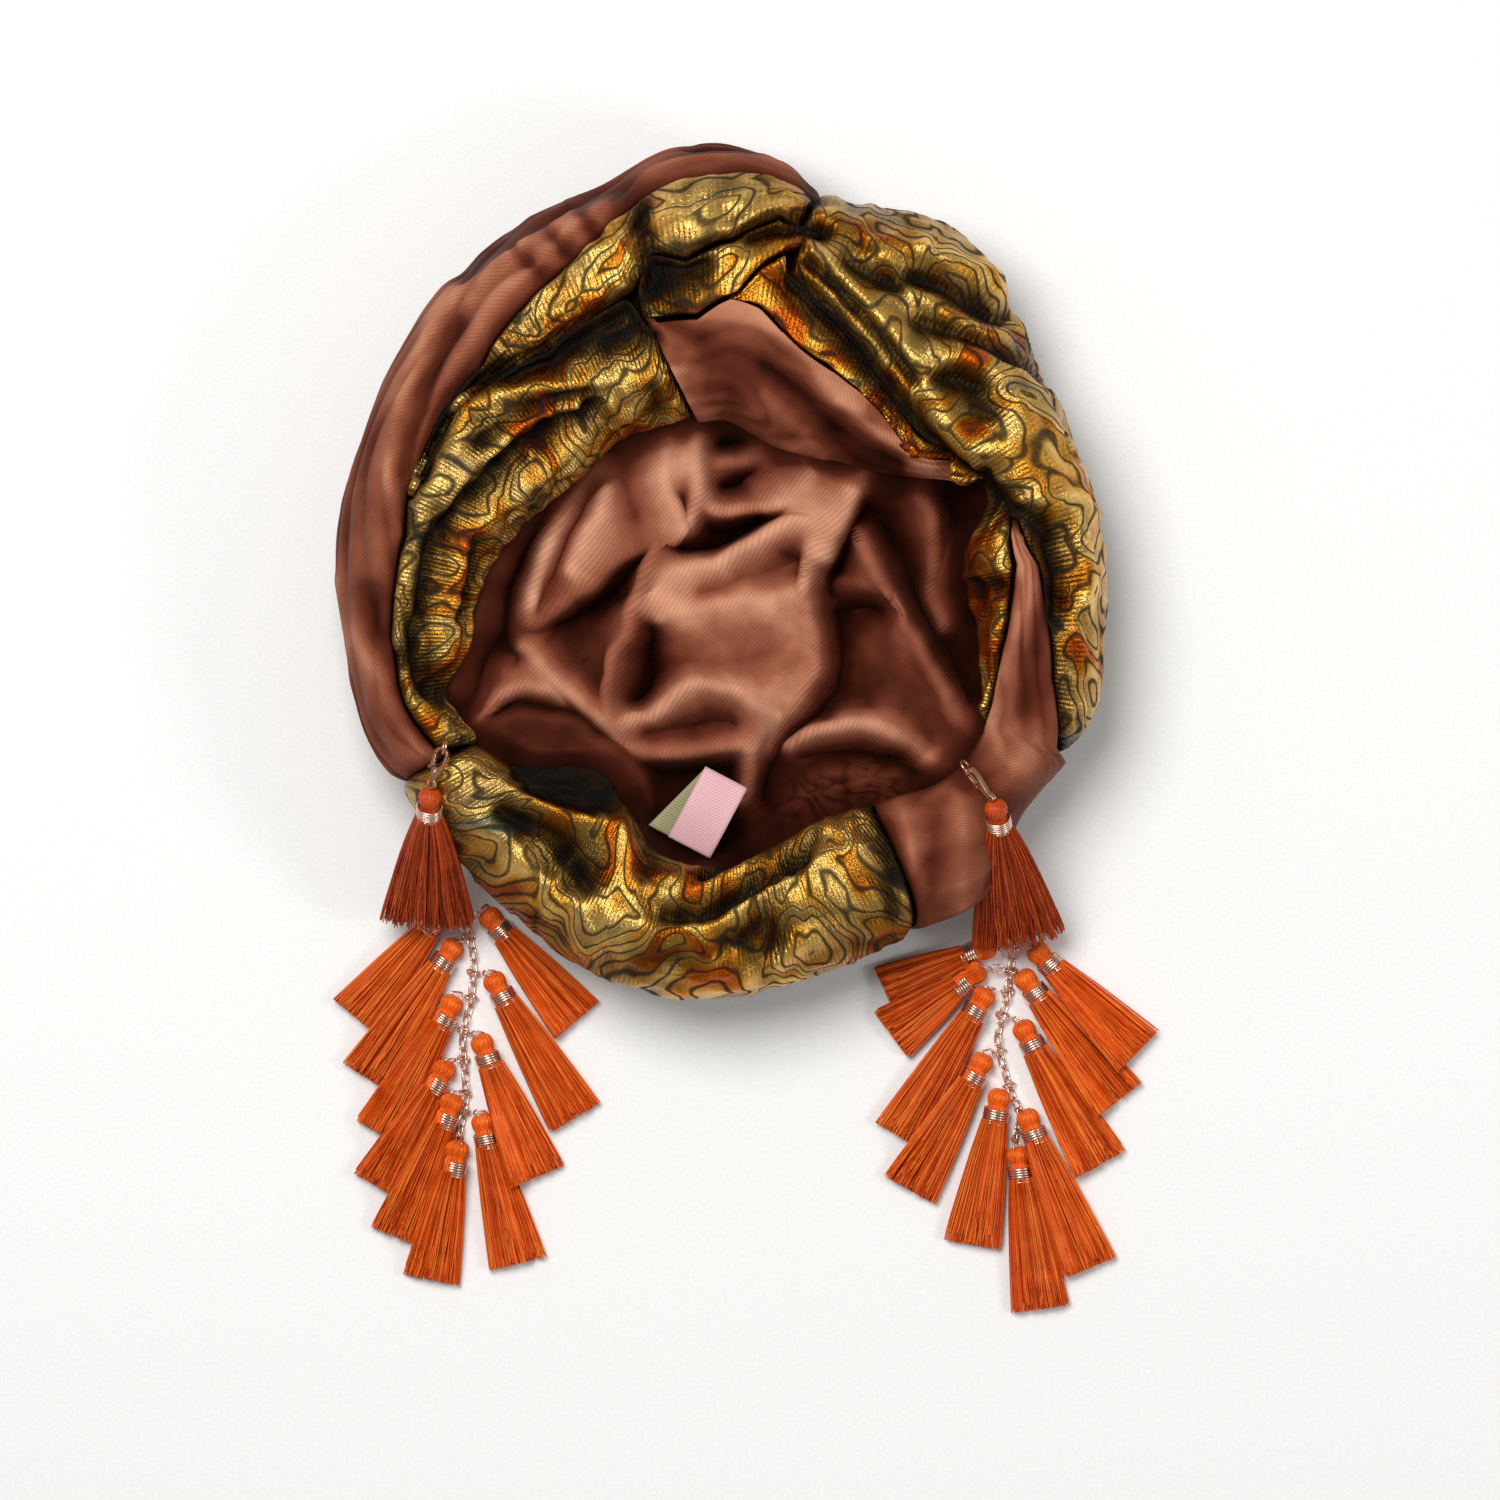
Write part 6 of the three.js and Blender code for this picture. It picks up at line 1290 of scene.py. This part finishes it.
def guided_mesh(name, skirt, middle, head, poles):
    """The guide and the head in one mesh, told apart by an attribute."""
    rows, around = skirt.shape[:2]
    count = skirt[..., 0].size
    head_count = head[..., 0].size
    faces = grid_faces(rows, around)
    start = count
    for near in range(head.shape[0] - 1):
        for k in range(head.shape[1]):
            beside = (k + 1) % head.shape[1]
            low, high = start + near * head.shape[1], start + (near + 1) * head.shape[1]
            faces.append([low + k, high + k, high + beside, low + beside])
    last = start + (head.shape[0] - 1) * head.shape[1]
    for k in range(head.shape[1]):
        beside = (k + 1) % head.shape[1]
        faces.append([start + k, start + beside, count + head_count])
        faces.append([last + beside, last + k, count + head_count + 1])
    points = np.concatenate([skirt.reshape(-1, 3), head.reshape(-1, 3), np.array(poles)])
    v, u = np.meshgrid(np.linspace(0, 1, rows), np.linspace(0, 1, around), indexing="ij")
    uv = np.zeros((len(points), 2))
    uv[:count] = np.stack([u, v], -1).reshape(-1, 2)
    piece = cloth_mesh(name, points, faces, orange_floss, uv)
    mesh = piece.data
    flag = np.zeros(len(points), bool)
    flag[:count] = True
    mesh.attributes.new("guide", "BOOLEAN", "POINT").data.foreach_set("value", flag)
    line = points.copy()
    line[:count] = middle.reshape(-1, 3)
    mesh.attributes.new("middle", "FLOAT_VECTOR", "POINT").data.foreach_set(
        "vector", (line * MM).ravel())
    shade = np.random.default_rng(4).uniform(0.2, 0.9, len(points))
    mesh.attributes.new("thread", "FLOAT", "POINT").data.foreach_set("value", shade)
    return piece


def lying_rings(tassel, laid, stations, turns, groove=0.0):
    """Rings of points of a small tassel that lies on the pile, and their middles."""
    distance, turn = np.meshgrid(stations, turns, indexing="ij")
    half, depth = tassel_size(np.maximum(distance, 0), tassel["length"])
    rib = grooved(distance, turn, groove)
    aside = half * rib * np.cos(turn)
    ahead, beside = tassel["ahead"], (-tassel["ahead"][1], tassel["ahead"][0])
    x = tassel["head"][0] + distance * ahead[0] + aside * beside[0]
    y = tassel["head"][1] + distance * ahead[1] + aside * beside[1]
    rest = soft_pile(laid, x, y)
    z = rest + SEAT_GAP / 2 + depth / 2 * (1 + rib * np.sin(turn))
    mid_x = tassel["head"][0] + distance * ahead[0]
    mid_y = tassel["head"][1] + distance * ahead[1]
    mid_z = soft_pile(laid, mid_x, mid_y) + SEAT_GAP / 2 + depth / 2
    return np.stack([x, y, z], -1), np.stack([mid_x, mid_y, mid_z], -1)


def small_tassel(tassel, laid):
    """Guide and head of a small tassel that lies on the ones already laid."""
    skirt, middle = lying_rings(tassel, laid, guide_stations(tassel["length"]), GUIDE_TURNS)
    head, head_middle = lying_rings(tassel, laid, HEAD_STATIONS, HEAD_TURNS, GROOVE_DEPTH)
    poles = [head_middle[0, 0], head_middle[-1, 0]]
    return guided_mesh(tassel["name"] + "_floss", skirt, middle, head, poles)


def lay_direction(origin, direction, roll):
    """Matrix that lays local X along a direction and rolls the piece about it."""
    ahead = Vector(direction).normalized()
    side = Vector((-ahead.y, ahead.x, 0)).normalized()
    up = ahead.cross(side)
    turned = side * math.cos(math.radians(roll)) + up * math.sin(math.radians(roll))
    matrix = Matrix((ahead, turned, ahead.cross(turned))).transposed().to_4x4()
    matrix.translation = Vector(origin)
    return matrix


def top_tassel(name, start, end):
    """Guide and head of the top tassel, which runs straight from start to end."""
    start, end = Vector(start), Vector(end)
    length = (end - start).length
    matrix = np.array(lay_direction(start, end - start, 0))

    def rings(stations, turns, groove=0.0):
        distance, turn = np.meshgrid(stations, turns, indexing="ij")
        head, _ = tassel_size(np.minimum(distance, NECK), length)
        part = np.clip((distance - NECK) / (length - NECK), 0, 1)
        wide = BAND_RADIUS + (TOP_WIDTH / 2 - BAND_RADIUS) * part ** 0.75
        deep = BAND_RADIUS + (TOP_DEPTH / 2 - BAND_RADIUS) * part
        half = np.where(distance < NECK, head, wide)
        depth = np.where(distance < NECK, head, deep)
        rib = grooved(distance, turn, groove)
        local = np.stack([distance, half * rib * np.cos(turn), depth * rib * np.sin(turn),
                          np.ones_like(turn)], -1)
        line = local * np.array([1, 0, 0, 1])
        return (local @ matrix.T)[..., :3], (line @ matrix.T)[..., :3]

    skirt, middle = rings(guide_stations(length), GUIDE_TURNS)
    head, line = rings(HEAD_STATIONS, HEAD_TURNS, GROOVE_DEPTH)
    return guided_mesh(name, skirt, middle, head, [line[0, 0], line[-1, 0]])


print("guide:", GUIDE_ROWS, "rows, head:", HEAD_ROWS, "rows with", HEAD_GROOVES, "grooves")


# %% [markdown]
# Rose gold wire is wound round each tassel's neck. A spiral curve gives the turns, and a round
# section swept along it gives the wire. The links of the chain are ovals of wire on points along the
# route, each rolled a quarter turn from the one before, so that they pass through each other.

# %% The node trees for wire


def wound_band_tree():
    tree, given, made = tree_with_inputs("wound_band", [
        ("Turns", "NodeSocketFloat", 6.0), ("Band radius", "NodeSocketFloat", BAND_RADIUS * MM),
        ("Band length", "NodeSocketFloat", BAND_LENGTH * MM),
        ("Wire radius", "NodeSocketFloat", 0.4 * MM), ("Wire", "NodeSocketMaterial", None)])
    coil = add_node(tree, "GeometryNodeCurveSpiral", {
        "Resolution": 28, "Rotations": given.outputs["Turns"],
        "Start Radius": given.outputs["Band radius"], "End Radius": given.outputs["Band radius"],
        "Height": given.outputs["Band length"]})
    section = add_node(tree, "GeometryNodeCurvePrimitiveCircle",
                       {"Resolution": 6, "Radius": given.outputs["Wire radius"]})
    body = add_node(tree, "GeometryNodeCurveToMesh",
                    {"Curve": coil.outputs[0], "Profile Curve": section.outputs[0],
                     "Fill Caps": True})
    solid = add_node(tree, "GeometryNodeRealizeInstances", {"Geometry": body.outputs[0]})
    finished = add_node(tree, "GeometryNodeSetMaterial",
                        {"Geometry": solid.outputs[0], "Material": given.outputs["Wire"]})
    tree.links.new(finished.outputs[0], made.inputs[0])
    return tree


def cable_chain_tree():
    tree, given, made = tree_with_inputs("cable_chain", [
        ("Link length", "NodeSocketFloat", 5.4 * MM), ("Link width", "NodeSocketFloat", 3.3 * MM),
        ("Wire radius", "NodeSocketFloat", 0.36 * MM), ("Wire", "NodeSocketMaterial", None)])
    maths = maths_of(tree)
    wire = given.outputs["Wire radius"]
    half_width = maths("SUBTRACT", maths("MULTIPLY", given.outputs["Link width"], 0.5), wire)
    straight = maths("MULTIPLY", maths("SUBTRACT", given.outputs["Link length"],
                                       given.outputs["Link width"]), 0.5)
    oval = add_node(tree, "GeometryNodeCurvePrimitiveCircle",
                    {"Resolution": 16, "Radius": half_width})
    place = add_node(tree, "GeometryNodeInputPosition").outputs[0]
    side = maths("SIGN", add_node(tree, "ShaderNodeSeparateXYZ", {0: place}).outputs[0])
    push = add_node(tree, "ShaderNodeCombineXYZ", {"X": maths("MULTIPLY", side, straight)})
    oval = add_node(tree, "GeometryNodeSetPosition",
                    {"Geometry": oval.outputs[0], "Offset": push.outputs[0]})
    section = add_node(tree, "GeometryNodeCurvePrimitiveCircle", {"Resolution": 6, "Radius": wire})
    link = add_node(tree, "GeometryNodeCurveToMesh",
                    {"Curve": oval.outputs[0], "Profile Curve": section.outputs[0]})
    pitch = maths("SUBTRACT", given.outputs["Link length"], maths("MULTIPLY", wire, 4.2))
    route = add_node(tree, "GeometryNodeMeshToCurve", {"Mesh": given.outputs["Geometry"]})
    spots = add_node(tree, "GeometryNodeCurveToPoints", {"Curve": route.outputs[0], "Length": pitch},
                     mode="LENGTH")
    along_route = add_node(tree, "FunctionNodeAlignRotationToVector",
                           {"Vector": spots.outputs["Tangent"]}, axis="X")
    odd = maths("MODULO", add_node(tree, "GeometryNodeInputIndex").outputs[0], 2.0)
    roll = maths("MULTIPLY", maths("SUBTRACT", odd, 0.5), math.pi / 2)
    twist = add_node(tree, "FunctionNodeAxisAngleToRotation", {"Axis": (1, 0, 0), "Angle": roll})
    turned = add_node(tree, "FunctionNodeRotateRotation",
                      {0: along_route.outputs[0], 1: twist.outputs[0]}, rotation_space="LOCAL")
    links = add_node(tree, "GeometryNodeInstanceOnPoints",
                     {"Points": spots.outputs[0], "Instance": link.outputs[0],
                      "Rotation": turned.outputs[0]})
    solid = add_node(tree, "GeometryNodeRealizeInstances", {"Geometry": links.outputs[0]})
    finished = add_node(tree, "GeometryNodeSetMaterial",
                        {"Geometry": solid.outputs[0], "Material": given.outputs["Wire"]})
    tree.links.new(finished.outputs[0], made.inputs[0])
    return tree


band_tree, chain_tree = wound_band_tree(), cable_chain_tree()
print("wire trees:", band_tree.name, chain_tree.name)

# %% [markdown]
# The metal findings keep the CAD model's shapes. A copy of each is welded and gets rounded edges, as
# a cast and tumbled clasp has, and it rides on the same body as the CAD piece, so that the lever
# still opens the eye.

# %% Metal findings


def tumbled(node, body, round_edge):
    """A rounded copy of a metal solid of the frame, riding on its body."""
    piece = add_object(node + "_plated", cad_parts[node].data.copy())
    weld(piece, reach=2e-6)
    piece.data.materials.clear()
    piece.data.materials.append(rose_plate)
    piece.data.shade_smooth()
    bevel = piece.modifiers.new("tumbled edge", "BEVEL")
    bevel.width = round_edge * MM
    bevel.segments = 3
    bevel.limit_method = "ANGLE"
    bevel.angle_limit = math.radians(40)
    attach(piece, body)
    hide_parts(node)
    return piece


def wire_ring(name, matrix, radius, wire, sides=48, around=12):
    """A closed ring of round wire, in the plane of the matrix."""
    turn, roll_angle = np.meshgrid(np.linspace(0, 2 * np.pi, sides, endpoint=False),
                                   np.linspace(0, 2 * np.pi, around, endpoint=False), indexing="ij")
    out = radius + wire / 2 * np.cos(roll_angle)
    local = np.stack([out * np.cos(turn), out * np.sin(turn), wire / 2 * np.sin(roll_angle),
                      np.ones_like(turn)], -1)
    points = (local @ np.array(matrix).T)[..., :3]
    faces = [[i * around + k, i * around + (k + 1) % around,
              (i + 1) % sides * around + (k + 1) % around, (i + 1) % sides * around + k]
             for i in range(sides) for k in range(around)]
    piece = cloth_mesh(name, points, faces, rose_plate)
    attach(piece, "root")
    return piece


print("findings:", [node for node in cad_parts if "clasp" in node or "ring" in node])

# %% [markdown]
# Now each drop is laid. The low tassels go down first, each over the one above it, and then the high
# ones from the end of the chain upwards. The top tassel covers the start of the chain.

# %% Lay the two drops
SMALL_THREADS, TOP_THREADS = 430, 900
THREAD_RADIUS = 0.22
BAND_TURNS, BAND_WIRE = 6.0, 0.42
BAND_SUNK, BAND_SHORT = 0.35, 0.8
LINK_LENGTH, LINK_WIDTH, LINK_WIRE = 5.0, 3.2, 0.36
HANG_SHARE = {"left": 0.31, "right": 0.03}


def smooth_route(points, steps=14):
    """A smooth open line through points."""
    points = np.array(points, float)
    padded = np.concatenate([points[:1], points, points[-1:]])
    line = []
    for i in range(len(points) - 1):
        before, low, high, after = padded[i:i + 4]
        for t in np.linspace(0, 1, steps, endpoint=False):
            line.append(0.5 * (2 * low + t * (high - before) + t * t * (
                2 * before - 5 * low + 4 * high - after) + t ** 3 * (3 * (low - high) + after - before)))
    return np.array(line + [points[-1]])


def wire_band(name, start, end):
    """Wire wound round a neck that runs from start to end."""
    bare = bpy.data.meshes.new(name)
    bare.from_pydata([(0, 0, 0)], [], [])
    piece = add_object(name, bare)
    grow(piece, band_tree, turns=BAND_TURNS, band_radius=(BAND_RADIUS - BAND_SUNK) * MM,
         band_length=(BAND_LENGTH - BAND_SHORT) * MM, wire_radius=BAND_WIRE * MM, wire=rose_wire)
    ahead = Vector(end) - Vector(start)
    matrix = lay_direction(Vector(start) + ahead.normalized() * (BAND_SHORT / 2), ahead, 0)
    upright = Matrix.Rotation(math.radians(90), 4, "Y")
    matrix = matrix @ upright
    matrix.translation = matrix.translation * MM
    piece.data.transform(matrix)
    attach(piece, "root")
    return piece


def lay_drop(drop, seed):
    """Lays a drop's ring, clasp, top tassel and small tassels, and then its chain."""
    at = np.array(float(drop["hang_at"]))
    hang = ring_point(at, along(HANG_SHARE[drop["name"]]), CLOTH_WALL)
    hang[2] = WIDE_HEIGHT + rim_section(at)[3] + CLOTH_WALL + HANG_RISE * FOLD_HEIGHT

    def spot(share, z):
        return np.array([hang[0] + share[0] * DROP_LENGTH, hang[1] + share[1] * DROP_LENGTH, z])

    top_head = spot(drop["top_head"], hang[2] - CLASP_TIP)
    top_end = spot(drop["top_end"], 2 * BAND_RADIUS + TOP_DEPTH / 2 + SEAT_GAP)
    ahead = Vector(top_head - hang).normalized()
    ring = wire_ring(drop["name"] + "_jump_ring_wire",
                     lay_direction(hang, ahead, drop["roll"] + 50), JUMP_RADIUS, JUMP_WIRE)
    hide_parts(drop["name"] + "_jump_ring")
    tumbled(drop["name"] + "_clasp_body", "root", 0.4)
    tumbled(drop["name"] + "_clasp_lever", drop["name"] + "_clasp_lever", 0.25)
    eye_end = (EYE_LENGTH - EYE_WIDTH) / 2
    eye_away = JUMP_RADIUS + EYE_LENGTH / 2 - 1.5 * JUMP_WIRE
    loop_centre = CLASP_LENGTH - eye_end - EYE_WIDTH / 2 - CLASP_WALL - LOOP_RADIUS
    head_start = Vector(hang) + ahead * (eye_away + loop_centre + LOOP_RADIUS + SEAT_GAP)
    top = top_tassel(drop["name"] + "_top_tassel_floss", head_start, top_end)
    grow(top, laying_tree, threads=TOP_THREADS, thread_radius=THREAD_RADIUS * MM, sway=0.10,
         ragged=0.14, seed=seed, floss=rust_floss)
    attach(top, "root")
    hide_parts(drop["name"] + "_top_tassel")
    axis = (Vector(top_end) - head_start).normalized()
    wire_band(drop["name"] + "_top_band", head_start + axis * HEAD_LENGTH, head_start + axis * NECK)
    laid = []
    for row in drop["low"] + drop["high"][::-1]:
        head, end = spot(row[1:3], 0)[:2], spot(row[3:5], 0)[:2]
        length = float(np.linalg.norm(end - head))
        name = "%s_tassel_%d" % (drop["name"], row[0])
        tassel = dict(name=name, head=head, ahead=(end - head) / length, length=length)
        floss = small_tassel(tassel, laid)
        grow(floss, laying_tree, threads=SMALL_THREADS, thread_radius=THREAD_RADIUS * MM, sway=0.07,
             ragged=0.12, seed=seed + 7 * int(row[0]), floss=orange_floss)
        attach(floss, "root")
        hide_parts(name)
        _, line = lying_rings(tassel, laid, np.array([HEAD_LENGTH, NECK]), np.array([0.0]))
        wire_band(name + "_band", line[0, 0], line[1, 0])
        laid.append(tassel)
    lay_chain(drop, laid, spot, head_start, top_end)
    return laid


def lay_chain(drop, laid, spot, head_start, top_end):
    """The chain on its route, with a short run of links to the head of each small tassel."""
    route = np.array([spot(share, CHAIN_RISE) for share in drop["chain"]])
    fall = np.array(head_start) - top_end
    inside = float(((route[0] - top_end) * fall)[:2].sum() / (fall[:2] ** 2).sum())
    route[0, 2] = top_end[2] + inside * fall[2]
    line = smooth_route(route)
    line[:, 2] = np.maximum(line[:, 2], CHAIN_RISE)
    points, edges = list(line), [(i, i + 1) for i in range(len(line) - 1)]
    for number, tassel in enumerate(laid):
        head = np.array([tassel["head"][0], tassel["head"][1], HEAD_RADIUS])
        head[2] += float(soft_pile(laid[:number], head[0], head[1]))
        near = line[np.argmin(np.linalg.norm(line - head, axis=1))]
        start = len(points)
        points += [near + (0, 0, 0.3), (near + head) / 2 + (0, 0, 0.4), head]
        edges += [(start, start + 1), (start + 1, start + 2)]
    mesh = bpy.data.meshes.new(drop["name"] + "_chain_links")
    mesh.from_pydata((np.array(points) * MM).tolist(), edges, [])
    piece = add_object(mesh.name, mesh)
    grow(piece, chain_tree, link_length=LINK_LENGTH * MM, link_width=LINK_WIDTH * MM,
         wire_radius=LINK_WIRE * MM, wire=rose_wire)
    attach(piece, "root")
    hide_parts(drop["name"] + "_chain")
    return piece


for number, drop in enumerate(DROPS):
    laid = lay_drop(drop, 100 + 300 * number)
    print(drop["name"], "drop:", len(laid), "small tassels on its chain")

# %% [markdown]
# A folded ribbon is sewn into the back of the lining. Its face is pink and its back a dull sage. It
# is left bare of any mark.

# %% The ribbon loop
LABEL_WIDTH, LABEL_LENGTH, LABEL_WALL = 15, 24, 0.9
LABEL_SKEW, LABEL_BULGE = 0.3, 2.0
LABEL_TURN, LABEL_TILT = math.radians(62), math.radians(-8)
RIBBON_WALL = 0.5


def ribbon_loop():
    """The ribbon's loop, put in the middle of its CAD solid."""
    bend = 1.5 * LABEL_WALL
    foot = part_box("label_loop")
    low, high = (np.array(corner) / MM for corner in foot)
    out = np.linspace(0, LABEL_LENGTH, 26)
    turn = np.linspace(np.pi / 2, -np.pi / 2, 12)[1:-1]
    path = np.concatenate([
        np.stack([out, np.full_like(out, bend)], -1),
        np.stack([LABEL_LENGTH + bend * np.cos(turn), bend * np.sin(turn)], -1),
        np.stack([out[::-1], np.full_like(out, -bend)], -1)])
    width = np.linspace(-LABEL_WIDTH / 2, LABEL_WIDTH / 2, 14)
    step, side = np.meshgrid(np.arange(len(path)), width, indexing="ij")
    local = np.stack([path[step, 0], side, path[step, 1]], -1)
    under = step >= len(path) - len(out)
    local[..., 1] += np.where(under, LABEL_SKEW * (LABEL_LENGTH - local[..., 0]), 0)
    local[..., 2] += np.where(under, 0, LABEL_BULGE * np.sin(local[..., 0] / LABEL_LENGTH * np.pi))
    local[..., 2] += 0.3 * np.sin(side / 3.5)
    tip = Matrix.Rotation(LABEL_TURN, 3, "Z") @ Matrix.Rotation(LABEL_TILT, 3, "Y")
    points = local @ np.array(tip).T
    points += (low + high) / 2 - (points.reshape(-1, 3).min(0) + points.reshape(-1, 3).max(0)) / 2
    reach = np.concatenate([[0], np.cumsum(np.linalg.norm(np.diff(path, axis=0), axis=1))])
    uv = np.stack([side + LABEL_WIDTH, reach[step]], -1)
    piece = cloth_mesh("label_loop_ribbon", points, [face[::-1] for face in grid_faces(*step.shape)],
                       pink_ribbon, uv)
    piece.data.materials.append(sage_ribbon)
    wall = piece.modifiers.new("ribbon wall", "SOLIDIFY")
    wall.thickness = RIBBON_WALL * MM
    wall.offset = -1
    wall.material_offset = 1
    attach(piece, "root")
    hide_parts("label_loop")
    return piece


label = ribbon_loop()
print("ribbon:", [round(v, 4) for v in label.dimensions])

# %% [markdown]
# The picture was taken straight down on a white table under broad soft light. The camera stands
# four metres up with a long lens, so that the rim hardly leans outwards. One large lamp, high at the
# top left, models the folds and gilds their tops. A small weak one on the right lights their far
# sides, and a pale room fills the shadows.

# %% Table, light and camera
VIEW_CENTRE = (9.6, -35.2)
VIEW_WIDTH = 480
CAMERA_HEIGHT = 4000
LAMP_AIM = (0, 0, 30)
ROOM_LIGHT = 0.27


def white_paper():
    material, tree, shader = bare_material("matt_white_paper")
    place = add_node(tree, "ShaderNodeTexCoord").outputs["Object"]
    grain = add_node(tree, "ShaderNodeTexNoise", {"Vector": place, "Scale": 900.0, "Detail": 2.0})
    shade = ramp(tree, grain.outputs[0], [(0.3, "#f4f3f1"), (0.7, "#fbfaf8")])
    tree.links.new(shade, shader.inputs["Base Color"])
    shader.inputs["Roughness"].default_value = 0.9
    return material


def lamp(name, place, size, power):
    """A round soft lamp with its place and size in millimetres, aimed at the opening."""
    light = bpy.data.lights.new(name, "AREA")
    light.shape = "DISK"
    light.size = size * MM
    light.energy = power
    stand = add_object(name, light)
    stand.location = Vector(place) * MM
    stand.rotation_euler = (Vector(place) - Vector(LAMP_AIM)).to_track_quat("Z", "Y").to_euler()
    return stand


bpy.ops.mesh.primitive_plane_add(size=6, location=(0, 0, 0))
table = bpy.context.object
table.name = "table_top"
table.data.materials.append(white_paper())

lamp("overhead_softbox", (-380, 480, 1500), 900, 22)
lamp("side_lamp", (1000, -250, 800), 350, 3)
world = bpy.data.worlds.new("pale_room")
bpy.context.scene.world = world
world.use_nodes = True
world.node_tree.nodes["Background"].inputs[0].default_value = (1, 1, 1, 1)
world.node_tree.nodes["Background"].inputs[1].default_value = ROOM_LIGHT

lens = bpy.data.cameras.new("long_lens")
lens.lens = lens.sensor_width * CAMERA_HEIGHT / VIEW_WIDTH
lens.clip_end = 20
camera = add_object("long_lens", lens)
camera.location = (VIEW_CENTRE[0] * MM, VIEW_CENTRE[1] * MM, CAMERA_HEIGHT * MM)
bpy.context.scene.camera = camera
bpy.context.scene.view_settings.view_transform = "Standard"
print("lens", round(lens.lens), "mm")
